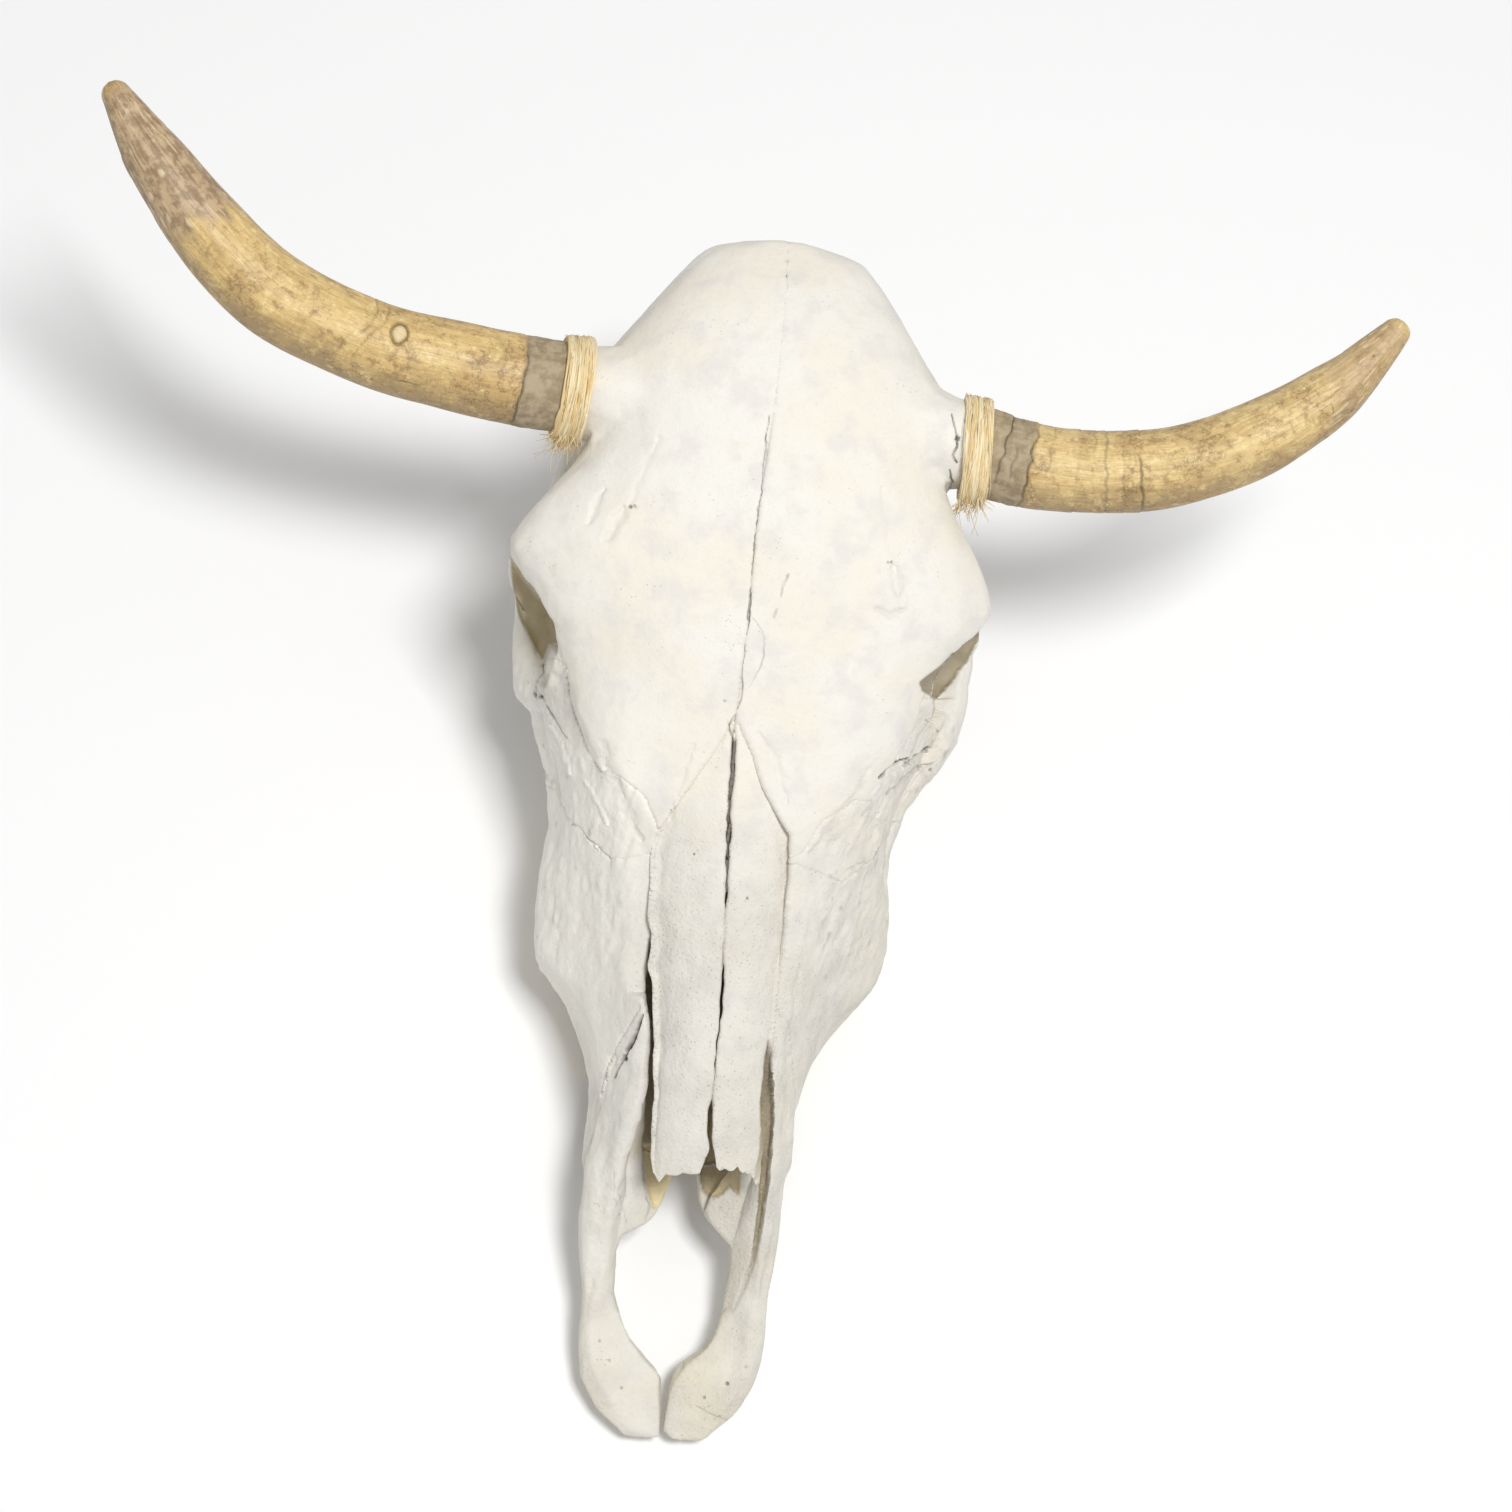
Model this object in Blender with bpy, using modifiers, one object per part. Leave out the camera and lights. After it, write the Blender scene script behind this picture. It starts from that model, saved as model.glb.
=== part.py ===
"""A cow skull without its lower jaw: whitened bone, brown horns, and a fibre binding on each horn base.

The skull lies on its cheek teeth and its two paracondylar processes. +Z is up, the nose points to -Y,
and +X is the animal's left. The origin is on the floor, under the middle of the whole span of the horns.
"""
import math

import bmesh
import bpy
from mathutils import Vector

MM = 0.001

# ---- driving dimensions, in millimetres and degrees ----
SKULL_LENGTH = 500.0        # poll to the front of the premaxillae
FACE_SLOPE = 23.8           # fall of the face towards the nose while the skull rests
POLL_HEIGHT = 218.0         # poll above the floor
BROW_HEIGHT = 32.0          # forehead above the straight line from poll to premaxilla
POLL_ROUNDING = 38.0        # how quickly the poll curves up into the forehead
ORBITAL_BREADTH = 198.0     # across both eye sockets
SOCKET_RADIUS = 28.5        # opening of an eye socket
SOCKET_DEPTH = 50.0
TUBER_BREADTH = 150.0       # across both facial tuberosities
MUZZLE_BREADTH = 80.0       # across the premaxillae
CONDYLE_BREADTH = 88.0
MASTOID_BREADTH = 140.0
BRAINCASE_BREADTH = 104.0
ARCH_BREADTH = 188.0        # across the zygomatic arches
NASAL_THICKNESS = 2.8
NASAL_DROOP = 7.0           # fall of a nasal bone from its ridge to its outer edge
CHEEK_TEETH = (15, 16, 18, 23, 27, 30)   # lengths of the crowns, front premolar to back molar
TOOTH_ROW_FRONT = 302.0     # front of the first premolar, ahead of the nuchal plane
CROWN_HEIGHT = 24.0
BINDING_WIDTH = 12.0
BINDING_THICKNESS = 2.8
BINDING_RADIUS = 21.6       # from the horn's axis to the middle of the fibre
GAP = 0.3                   # clearance between neighbouring solids
VOXEL = 2.0                 # grain of the blended bone
BONE_FACES = 3250           # faces of the blended bone before it is divided

NUCHAL_Y = 224.1            # the poll's place along Y
MIDLINE_X = 13.1            # the skull's midline: the right horn reaches further out than the left one

SIN_SLOPE = math.sin(math.radians(FACE_SLOPE))
COS_SLOPE = math.cos(math.radians(FACE_SLOPE))

BONE_WHITE = (0.86, 0.83, 0.77)
HORN_BROWN = (0.52, 0.36, 0.17)
FIBRE_STRAW = (0.78, 0.60, 0.33)


# ---- the two ways to give a place ----
def face(s, t, h):
    """A place by its distance from the poll along the face, its offset from the midline, and its height."""
    along = s * COS_SLOPE + h * SIN_SLOPE
    up = POLL_HEIGHT - s * SIN_SLOPE + h * COS_SLOPE
    return Vector((MIDLINE_X + t, NUCHAL_Y - along, up)) * MM


def rest(u, t, z):
    """A place by its distance ahead of the poll over the floor, its offset, and its height off the floor."""
    return Vector((MIDLINE_X + t, NUCHAL_Y - u, z)) * MM


def forehead(s):
    return BROW_HEIGHT * (1.0 - math.exp(-max(s, 0.0) / POLL_ROUNDING))


def between(table, x):
    """Straight interpolation in a short table of (x, value) pairs."""
    if x <= table[0][0]:
        return table[0][1]
    for (x0, v0), (x1, v1) in zip(table, table[1:]):
        if x <= x1:
            return v0 + (v1 - v0) * (x - x0) / (x1 - x0)
    return table[-1][1]


def through(points, count):
    """A smooth curve through a few points, read at an even number of places."""
    last = len(points) - 1
    curve = []
    for i in range(count):
        place = i * last / (count - 1)
        k = min(int(place), last - 1)
        f = place - k
        p0, p1 = points[max(k - 1, 0)], points[k]
        p2, p3 = points[k + 1], points[min(k + 2, last)]
        curve.append(tuple(
            0.5 * (2 * b + (c - a) * f + (2 * a - 5 * b + 4 * c - d) * f ** 2
                   + (3 * b - a - 3 * c + d) * f ** 3)
            for a, b, c, d in zip(p0, p1, p2, p3)))
    return curve


# ---- scene, materials and mesh helpers ----
def clear_scene():
    for obj in list(bpy.data.objects):
        bpy.data.objects.remove(obj, do_unlink=True)


def new_collection(name):
    group = bpy.data.collections.new(name)
    bpy.context.scene.collection.children.link(group)
    return group


def principled(name, colour, roughness):
    material = bpy.data.materials.new(name)
    material.use_nodes = True
    shader = material.node_tree.nodes["Principled BSDF"]
    shader.inputs["Base Color"].default_value = (*colour, 1.0)
    shader.inputs["Roughness"].default_value = roughness
    shader.inputs["Metallic"].default_value = 0.0
    return material


def add_object(name, bm, group):
    bmesh.ops.recalc_face_normals(bm, faces=bm.faces)
    if bm.calc_volume(signed=True) < 0:
        bmesh.ops.reverse_faces(bm, faces=bm.faces)
    mesh = bpy.data.meshes.new(name)
    bm.to_mesh(mesh)
    bm.free()
    obj = bpy.data.objects.new(name, mesh)
    group.objects.link(obj)
    return obj


def loft(name, rings, group, closed=False, folded=False):
    """A closed skin over rings of equal length. Unless it closes on itself, each end gets a cap.
    On a folded ring, an upper line and the same line below it, the cap is a strip of four-sided faces."""
    bm = bmesh.new()
    loops = [[bm.verts.new(p) for p in ring] for ring in rings]
    pairs = list(zip(loops, loops[1:]))
    if closed:
        pairs.append((loops[-1], loops[0]))
    for a, b in pairs:
        for i in range(len(a)):
            j = (i + 1) % len(a)
            bm.faces.new((a[i], a[j], b[j], b[i]))
    for loop in () if closed else (loops[0], loops[-1]):
        if folded:
            for i in range(len(loop) // 2 - 1):
                bm.faces.new((loop[i], loop[i + 1], loop[-2 - i], loop[-1 - i]))
        else:
            bm.faces.new(loop)
    return add_object(name, bm, group)


def ellipse_ring(centre, across, up, radius_across, radius_up, sides, squareness=1.0):
    ring = []
    for i in range(sides):
        angle = 2 * math.pi * i / sides
        c = math.cos(angle)
        s = math.sin(angle)
        x = math.copysign(abs(c) ** squareness, c) * radius_across
        y = math.copysign(abs(s) ** squareness, s) * radius_up
        ring.append(centre + across * (x * MM) + up * (y * MM))
    return ring


def tube(name, path, radii, group, sides=16, steps=3, up_hint=Vector((0, 0, 1))):
    """A swept, tapering form through named points; radii are (across, up) at each point."""
    count = (len(path) - 1) * steps + 1
    centres = [Vector(p) for p in through([tuple(p) for p in path], count)]
    sizes = through(radii, count)
    rings = []
    for i, centre in enumerate(centres):
        ahead = centres[min(i + 1, count - 1)] - centres[max(i - 1, 0)]
        ahead.normalize()
        across = up_hint.cross(ahead).normalized()
        up = ahead.cross(across).normalized()
        rings.append(ellipse_ring(centre, across, up, sizes[i][0], sizes[i][1], sides))
    return loft(name, rings, group)


def ellipsoid(name, centre, axes, radii, group):
    """A ball stretched along three given directions."""
    bm = bmesh.new()
    bmesh.ops.create_uvsphere(bm, u_segments=24, v_segments=14, radius=1.0)
    for v in bm.verts:
        offset = sum((axis * (v.co[k] * radii[k] * MM) for k, axis in enumerate(axes)), Vector())
        v.co = centre + offset
    return add_object(name, bm, group)


def prism(name, outline, low, high, group, place=face):
    """A plan outline of (s, t) points raised from one height to another."""
    rings = [[place(s, t, height) for s, t in outline] for height in (low, high)]
    return loft(name, rings, group)


FACE_ALONG = (face(1, 0, 0) - face(0, 0, 0)).normalized()
FACE_UP = (face(0, 0, 1) - face(0, 0, 0)).normalized()
LEFTWARD = Vector((1, 0, 0))
REST_AXES = (LEFTWARD, Vector((0, 1, 0)), Vector((0, 0, 1)))
FACE_AXES = (LEFTWARD, FACE_ALONG, FACE_UP)


def settle(obj):
    """Replace an object's mesh by what its modifiers make of it."""
    graph = bpy.context.evaluated_depsgraph_get()
    mesh = bpy.data.meshes.new_from_object(obj.evaluated_get(graph))
    obj.modifiers.clear()
    obj.data = mesh


def joined(name, pieces, group):
    """Put the faces of several pieces in one object."""
    bm = bmesh.new()
    for piece in pieces:
        bm.from_mesh(piece.data)
        bpy.data.objects.remove(piece, do_unlink=True)
    return add_object(name, bm, group)


def blend(obj, voxel, smoothing):
    """Fuse overlapping forms into one skin and ease its creases."""
    remesh = obj.modifiers.new("fuse", "REMESH")
    remesh.mode = "VOXEL"
    remesh.voxel_size = voxel * MM
    ease = obj.modifiers.new("ease", "SMOOTH")
    ease.factor = 0.5
    ease.iterations = smoothing
    settle(obj)


def cut(obj, cutter):
    boolean = obj.modifiers.new("cut", "BOOLEAN")
    boolean.operation = "DIFFERENCE"
    boolean.object = cutter
    settle(obj)


def unite(obj, other):
    boolean = obj.modifiers.new("unite", "BOOLEAN")
    boolean.operation = "UNION"
    boolean.object = other
    settle(obj)
    bpy.data.objects.remove(other, do_unlink=True)


def coarsen(obj, faces):
    reduce = obj.modifiers.new("coarsen", "DECIMATE")
    reduce.ratio = faces / (2.0 * len(obj.data.polygons))
    reduce.use_collapse_triangulate = True
    settle(obj)


# ---- the bone, before it is divided ----
ROOF_BACK = ((0, 6), (3, 24), (10, 37), (22, 46), (38, 58), (50, 69), (75, 74), (98, 75))
ROOF_FRONT = ((182, 74), (200, 69), (226, 56), (252, 38), (264, 26))
ROOF_HALF_WIDTH = {
    -1: ROOF_BACK + ((106, 81), (118, 91), (126, 96.5), (133, 101), (139, 102.5), (146, 99), (156, 92),
                     (166, 83)) + ROOF_FRONT,
    1: ROOF_BACK + ((106, 79), (118, 87), (130, 94), (141, 98), (146, 98.5), (156, 93),
                    (166, 82)) + ROOF_FRONT,
}
ROOF_EDGE_HEIGHT = ((0, -12), (30, -6), (75, 0), (120, 6), (150, 8), (200, 14), (264, 20))


ROOF_STATIONS = (0.5, 3, 10, 22, 38, 55, 75, 95, 110, 120, 128, 134, 140, 146, 152, 159, 168, 182, 200,
                 226, 250, 264)


def frontal_roof(group):
    """The broad forehead, from the rounded poll to the root of the nose."""
    rings = []
    for s in ROOF_STATIONS:
        edge = between(ROOF_EDGE_HEIGHT, s)
        top = forehead(s) - edge
        under = 12.0 + 12.0 * min(1.0, s / 30.0) * min(1.0, (290 - s) / 90.0)
        ring = []
        for i in range(36):
            angle = 2 * math.pi * i / 36
            c = math.cos(angle)
            v = math.sin(angle)
            t = math.copysign(abs(c) ** 0.68, c) * between(ROOF_HALF_WIDTH[1 if c > 0 else -1], s)
            rise = abs(v) ** 0.9 * (top if v > 0 else -under)
            ring.append(face(s, t, edge + rise))
        rings.append(ring)
    return loft("frontal_roof", rings, group)


def braincase(group):
    """The brain's chamber and the flat nape, in upright sections from back to front."""
    wall = BRAINCASE_BREADTH / 2
    sections = ((-1, wall - 10, 84, 205), (5, wall, 68, 210), (20, wall + 5, 57, 210),
                (45, wall + 4, 56, 206), (80, wall - 1, 58, 192), (118, 43, 62, 174),
                (155, 35, 64, 154), (190, 33, 60, 132))
    rings = []
    for u, half_width, low, high in sections:
        ring = []
        for i in range(36):
            angle = 2 * math.pi * i / 36
            v = math.sin(angle)
            narrowing = 1.0 - (0.45 * v * v if v < 0 else 0.0)
            t = math.copysign(abs(math.cos(angle)) ** 0.75, math.cos(angle)) * half_width * narrowing
            ring.append(rest(u, t, (low + high) / 2 + math.copysign(abs(v) ** 0.85, v) * (high - low) / 2))
        rings.append(ring)
    return loft("braincase", rings, group)


def mastoid(side, group):
    """The broad lower corner of the nape, behind the ear opening."""
    half = MASTOID_BREADTH / 2
    return ellipsoid("mastoid", rest(30, side * (half - 26), 102), REST_AXES, (26, 24, 36), group)


def face_block(group):
    """Cheeks, snout and palate, as rings that follow the lines a hand would trace along the bone."""
    crest = TUBER_BREADTH / 2
    cheek = ORBITAL_BREADTH / 2
    stations = 12
    traces = (
        ((172, 0, 30), (230, 0, 31), (300, 0, 30), (360, 0, 18), (421, 0, -10)),
        ((176, 44, 28), (235, 34, 28), (300, 28, 24), (360, 28, 12), (421, 33, -10)),
        ((186, 73, 4), (228, 60, 9), (300, 52, -8), (360, 41, -8), (421, 39, -12)),
        ((176, cheek - 3, -50), (214, 84, -52), (250, crest, -50), (300, crest + 1, -42), (322, 61, -44),
         (350, 48, -36), (421, 41, -15)),
        ((216, 60, -110), (262, 61, -98), (310, 57, -78), (345, 51, -62), (378, 45, -42), (421, 40, -19)),
        ((216, 38, -106), (262, 38, -94), (310, 36, -74), (345, 34, -58), (378, 34, -40), (421, 33, -21)),
        ((226, 0, -92), (270, 0, -72), (310, 0, -56), (350, 0, -40), (380, 0, -30), (421, 0, -21)),
    )
    lines = [through(trace, stations) for trace in traces]
    rings = []
    for k in range(stations):
        half = [line[k] for line in lines]
        loop = half + [(s, -t, h) for s, t, h in reversed(half[1:-1])]
        smooth = through([loop[-1]] + loop + [loop[0], loop[1]], 61)
        rings.append([face(*p) for p in smooth[5:-10]])
    return loft("face_block", rings, group)


SOCKET_NORMAL = (0.43, 0.87, 0.24)


def socket_frame(side):
    """Middle of an eye socket's rim, and the directions outward, up the rim and round it."""
    along, across, up = SOCKET_NORMAL
    outward = (FACE_ALONG * along + LEFTWARD * (side * across) + FACE_UP * up).normalized()
    centre = face(164, side * (ORBITAL_BREADTH / 2 - 16.8), -17)
    rim_up = (FACE_UP - outward * outward.dot(FACE_UP)).normalized()
    return centre, outward, rim_up, outward.cross(rim_up)


def socket_rim(side, group):
    """The ring of bone round an eye."""
    centre, outward, rim_up, rim_along = socket_frame(side)
    rings = []
    turns = 40
    for i in range(turns):
        angle = 2 * math.pi * i / turns
        radial = rim_up * math.cos(angle) + rim_along * math.sin(angle)
        middle = centre + radial * ((SOCKET_RADIUS + 3.4) * MM) - outward * (5.0 * MM)
        rings.append(ellipse_ring(middle, radial, outward, 4.4, 9.0, 12))
    return loft("socket_rim", rings, group, closed=True)


def socket_wall(side, group):
    """The bone in front of and above the eye, before the socket is hollowed."""
    centre, outward, rim_up, rim_along = socket_frame(side)
    middle = centre - outward * (20 * MM) + FACE_ALONG * (20 * MM) + FACE_UP * (8 * MM)
    return ellipsoid("socket_wall", middle, (rim_along, rim_up, outward), (27, 29, 25), group)


def lacrimal_bulla(side, group):
    """The thin-walled bubble on the floor of the eye socket, over the back of the upper jaw."""
    centre, outward, rim_up, rim_along = socket_frame(side)
    middle = centre - outward * (25 * MM) + FACE_ALONG * (14 * MM) - FACE_UP * (25 * MM)
    return ellipsoid("lacrimal_bulla", middle, (rim_along, rim_up, outward), (19, 13, 21), group)


def socket_cutter(side, group):
    centre, outward, rim_up, rim_along = socket_frame(side)
    middle = centre + outward * (6 * MM)
    radii = (SOCKET_RADIUS, SOCKET_RADIUS, SOCKET_DEPTH + 6)
    return ellipsoid("socket_cutter", middle, (rim_along, rim_up, outward), radii, group)


def temporal_cutter(side, group):
    """The open hollow behind the eye, between the arch, the forehead's edge and the wall of the braincase."""
    centre = face(118, side * 84, -42)
    return ellipsoid("temporal", centre, FACE_AXES, (34, 40, 26), group)


def zygomatic_arch(side, group):
    """The bar that runs back from the cheek to the ear."""
    half = ARCH_BREADTH / 2
    path = [rest(u, side * t, z) for u, t, z in
            ((226, 64, 72), (196, half - 19, 82), (166, half - 7, 91), (142, half - 1, 97),
             (110, half - 3, 101), (76, half - 11, 106), (44, 72, 108), (26, 60, 106))]
    radii = ((5, 13), (7, 17), (7, 15.5), (5.5, 11.5), (5, 8.5), (5.5, 7.5), (8, 8), (9, 9))
    return tube("zygomatic_arch", path, radii, group)


def horn_core(side, group):
    """The stump of bone that carries the horn and reaches out under the binding."""
    base, middle, end = HORN_ROOTS[side]
    return tube("horn_core", [face(*base), face(*middle), face(*end)], ((25, 22), (20, 20), (17.4, 17.4)),
                group, sides=24, up_hint=FACE_UP)


def nape_ridge(group):
    """The low knob in the middle of the nape, where the neck's ligament holds."""
    return ellipsoid("nape_ridge", rest(2, 0, 150), REST_AXES, (15, 8, 30), group)


def condyle(side, group):
    half = CONDYLE_BREADTH / 2
    centre = rest(11, side * (half - 18), 66)
    tilt = Vector((side * 0.35, 0, 1)).normalized()
    sideways = Vector((1, 0, -side * 0.35)).normalized()
    return ellipsoid("condyle", centre, (sideways, Vector((0, 1, 0)), tilt), (15, 19, 25), group)


def paracondylar_process(side, group):
    """The finger of bone beside each condyle. The skull stands on its tip."""
    path = [rest(u, side * t, z) for u, t, z in ((26, 52, 92), (30, 54, 56), (36, 52, 22), (40, 50, -8))]
    radii = ((14, 17), (9.5, 15), (7, 10.5), (5.5, 7.5))
    return tube("paracondylar", path, radii, group, up_hint=Vector((0, 1, 0)))


def bulla(side, group):
    """The thin-walled swelling that holds the middle ear."""
    return ellipsoid("bulla", rest(56, side * 33, 64), REST_AXES, (10, 15, 16), group)


def pterygoid_plate(side, group):
    """The upright plate behind the palate, beside the inner nostril."""
    return ellipsoid("pterygoid", rest(140, side * 22, 54), REST_AXES, (4.5, 38, 24), group)


PREMAXILLA_BARS = {
    -1: ((316, 30.5, 15, 2.6), (350, 31, 6, 3.4), (385, 35, -2, 5.5), (415, 36.5, -10, 8),
         (440, 35, -12, 8.5), (456, 33, -10.5, 9), (468, 30, -9, 10), (486, 20, -6, 9)),
    1: ((316, 31.5, 15, 2.6), (350, 32, 6, 3.4), (385, 34, -2, 5.5), (415, 31.5, -10, 10.5),
        (440, 30, -12, 10.5), (456, 30, -10.5, 10.5), (468, 29, -9, 10), (486, 20, -6, 9)),
}
PREMAXILLA_SHELVES = {
    -1: ((326, 26.5, 31, 13), (345, 24.6, 33, 8), (361, 22.8, 35, 3), (378, 21, 38, -2), (394, 19.2, 39, -6),
         (408, 14, 38, -10), (424, 18, 36, -13)),
    1: ((370, 25, 30, 0), (382, 20.5, 32, -4), (395, 11, 34, -8), (408, 7, 34, -11), (424, 14, 34, -13)),
}


def premaxilla_bar(side, group):
    """The strip beside the nostril opening: a plate along the nose that turns into a rounded bar."""
    path = [face(s, side * t, h) for s, t, h, across in PREMAXILLA_BARS[side]]
    heights = (7, 13, 11, 8, 6, 6, 5.5, 4.5)
    radii = [(row[3], up) for row, up in zip(PREMAXILLA_BARS[side], heights)]
    return tube("premaxilla_bar", path, radii, group, up_hint=FACE_UP - LEFTWARD * (side * 0.55))


def premaxilla_shelf(side, group):
    """The hollowed inner plate between the bar and the nasal bone, down to the edge of the opening."""
    inward = (LEFTWARD * -side - FACE_UP * 0.36).normalized()
    upward = (FACE_UP - LEFTWARD * (side * 0.36)).normalized()
    rings = []
    for s, inner, outer, h in PREMAXILLA_SHELVES[side]:
        centre = face(s, side * (inner + outer) / 2, h)
        rings.append(ellipse_ring(centre, inward, upward, (outer - inner) / 2, 2.4, 14, 0.8))
    return loft("premaxilla_shelf", rings, group)


def premaxilla_end(side, group):
    """The flat, rounded end of the snout."""
    sections = ((54, 23, 40, -11.5, 3.5), (44, 14, 40.6, -11, 4.5), (36, 6, 40.5, -10, 5.2),
                (28, 1.0, 39.5, -9, 5.5), (18, 0.8, 36.3, -7.5, 5.5), (8, 0.8, 30, -6.5, 5),
                (2, 0.8, 23, -6, 4), (-0.8, 1.5, 17, -6, 2.5))
    rings = []
    for back, inner, outer, h, thick in sections:
        centre = face(SKULL_LENGTH - back, side * (inner + outer) / 2, h)
        rings.append(ellipse_ring(centre, LEFTWARD, FACE_UP, (outer - inner) / 2, thick, 20, 0.65))
    return loft("premaxilla_end", rings, group)


def nasal_cavity_cutter(group):
    """The hollow of the nose, open above between the cheek bones and in front."""
    sections = ((244, -12, 10, -8, 20), (258, -25, 19, -38, 23), (280, -28.5, 22, -58, 32),
                (300, -29.5, 22.5, -54, 60), (322, -29, 23.5, -46, 60), (345, -29, 28, -38, 60),
                (372, -30, 31, -29, 60), (395, -31, 31.5, -21, 60), (440, -31, 31, -13, 60))
    rings = []
    for s, right, left, low, high in sections:
        centre = face(s, (right + left) / 2, (low + high) / 2)
        rings.append(ellipse_ring(centre, LEFTWARD, FACE_UP, (left - right) / 2, (high - low) / 2, 28, 0.7))
    return loft("nasal_cavity", rings, group)


def muzzle_opening_cutter(group):
    """The gap between the two premaxillae, with the narrow arch of the palate's edge at its back."""
    right = [(391, -7.5), (398, -7.8), (403, -9.4), (409, -13), (415, -19), (419.5, -27), (434, -27.5),
             (448, -25.5), (460, -20.5), (467, -14.5), (472, -8), (477, -4), (485, -2.6), (520, -2)]
    left = [(391, 4), (400, 5.5), (407, 8.5), (414, 15.5), (419.5, 20.5), (432, 22), (445, 21.2), (457, 18),
            (464, 14.5), (469, 7.5), (475, 2.5), (484, 1), (520, -1)]
    return prism("muzzle_opening", right + left[::-1], -60, 40, group)


def palate_cutter(group):
    """The vault between the tooth rows and the inner nostrils behind it."""
    rings = []
    for u, half_width, high in ((60, 10, 50), (100, 14, 57), (140, 17, 62), (162, 24, 48), (200, 32, 42),
                                (280, 30, 40), (320, 24, 35), (345, 14, 29)):
        rings.append(ellipse_ring(rest(u, 0, 0), LEFTWARD, Vector((0, 0, 1)), half_width, high, 24, 0.8))
    return loft("palate", rings, group)


def foramen_magnum_cutter(group):
    """The round opening in the nape for the spinal cord."""
    return tube("foramen_magnum", [rest(-20, 0, 72), rest(20, 0, 82), rest(44, 0, 92)],
                ((18, 16), (17, 15), (11, 10)), group)


def bone_mass(parts, cutters):
    """The solid core is fused and hollowed first; rims, bars and processes are fused on after that."""
    core = [frontal_roof(parts), braincase(parts), nape_ridge(parts), face_block(parts)]
    hollows = [nasal_cavity_cutter(cutters), palate_cutter(cutters), foramen_magnum_cutter(cutters)]
    slender = []
    for side in (-1, 1):
        core += [socket_wall(side, parts), mastoid(side, parts)]
        hollows += [socket_cutter(side, cutters), temporal_cutter(side, cutters)]
        slender += [socket_rim(side, parts), zygomatic_arch(side, parts), horn_core(side, parts)]
        slender += [lacrimal_bulla(side, parts)]
        slender += [condyle(side, parts), paracondylar_process(side, parts), bulla(side, parts)]
        slender += [pterygoid_plate(side, parts), premaxilla_bar(side, parts), premaxilla_end(side, parts)]
        slender += [premaxilla_shelf(side, parts)]
    mass = joined("bone", core, parts)
    blend(mass, VOXEL, 8)
    for hollow in hollows:
        cut(mass, hollow)
    mass = joined("bone", [mass] + slender, parts)
    blend(mass, VOXEL * 0.8, 3)
    cut(mass, muzzle_opening_cutter(cutters))
    coarsen(mass, BONE_FACES)
    return mass


# ---- teeth, nasal bones, horns and bindings ----
TOOTH_OUTER_LINE = ((170, 62), (240, 59), (TOOTH_ROW_FRONT, 49))
TOOTH_WIDTH = ((170, 22), (240, 20), (TOOTH_ROW_FRONT, 15))


def tooth_columns(side, group):
    """The cheek teeth of one side: one rounded column for a premolar, two for a molar, worn level."""
    columns = []
    front = TOOTH_ROW_FRONT
    for length in CHEEK_TEETH:
        lobes = 2 if length > 20 else 1
        for lobe in range(lobes):
            u = front - length * (lobe + 0.5) / lobes
            width = between(TOOTH_WIDTH, u)
            t = side * (between(TOOTH_OUTER_LINE, u) - width / 2)
            rings = []
            for z, spread in ((0, 0.93), (5, 1.0), (CROWN_HEIGHT + 14, 0.84)):
                rings.append(ellipse_ring(rest(u, t, z), LEFTWARD, Vector((0, 1, 0)), width / 2 * spread,
                                          length / lobes * 0.56 * spread, 8, 0.7))
            columns.append(loft("tooth", rings, group))
        front -= length
    return columns


NOSE_CRACK = ((200, -4), (234, -3.5), (275, -0.5), (317, 2), (358, 2.6), (400, 0))
NASAL_OUTER = {-1: ((200, -12), (223, -25), (251, -31.5), (289, -30), (320, -26), (361, -21), (400, -17)),
               1: ((200, 6), (227, 16), (247, 24), (285, 25.5), (333, 24.5), (375, 26.2), (400, 26.5))}
NASAL_BACK = {-1: ((0, 200), (0.4, 211), (0.62, 223), (0.85, 239), (1, 251)),
              1: ((0, 200), (0.35, 209), (0.7, 227), (1, 246))}
NASAL_TIP = {-1: ((0, 363), (0.2, 384.5), (0.4, 385.5), (0.6, 387.5), (0.8, 391.5), (1, 383)),
             1: ((0, 361), (0.2, 381.5), (0.4, 385.5), (0.6, 384), (0.8, 386), (1, 388))}
NASAL_FRACTIONS = (0.0, 0.2, 0.4, 0.6, 0.8, 1.0)


def nasal_bone(side, group, grow=0.0, headroom=0.0):
    """A long arched plate beside the nose's crack. Its broken tip and pointed root follow short tables."""
    stations = 9
    rings = []
    for k in range(stations):
        v = k / (stations - 1)
        upper = []
        lower = []
        for f in NASAL_FRACTIONS:
            back = between(NASAL_BACK[side], f) - grow * (1.5 if f > 0 else 4.0)
            tip = between(NASAL_TIP[side], f) + grow
            s = back + (tip - back) * v
            inner = between(NOSE_CRACK, s) + side * 0.6
            outer = between(NASAL_OUTER[side], s)
            droop = NASAL_DROOP * f * f * min(1.0, 0.35 + max(0.0, s - 200) / 150.0)
            h = BROW_HEIGHT - 0.6 - droop - 2.5 * max(0.0, (s - 350) / 45.0)
            t = inner + (outer - inner) * f + side * (grow if f > 0 else -grow)
            upper.append(face(s, t, h + headroom))
            lower.append(face(s, t, h - NASAL_THICKNESS - grow))
        rings.append(upper + lower[::-1])
    name = "nasal_seat" if grow else "nasal_" + SIDE_NAMES[side]
    return loft(name, rings, group, folded=True)


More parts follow.
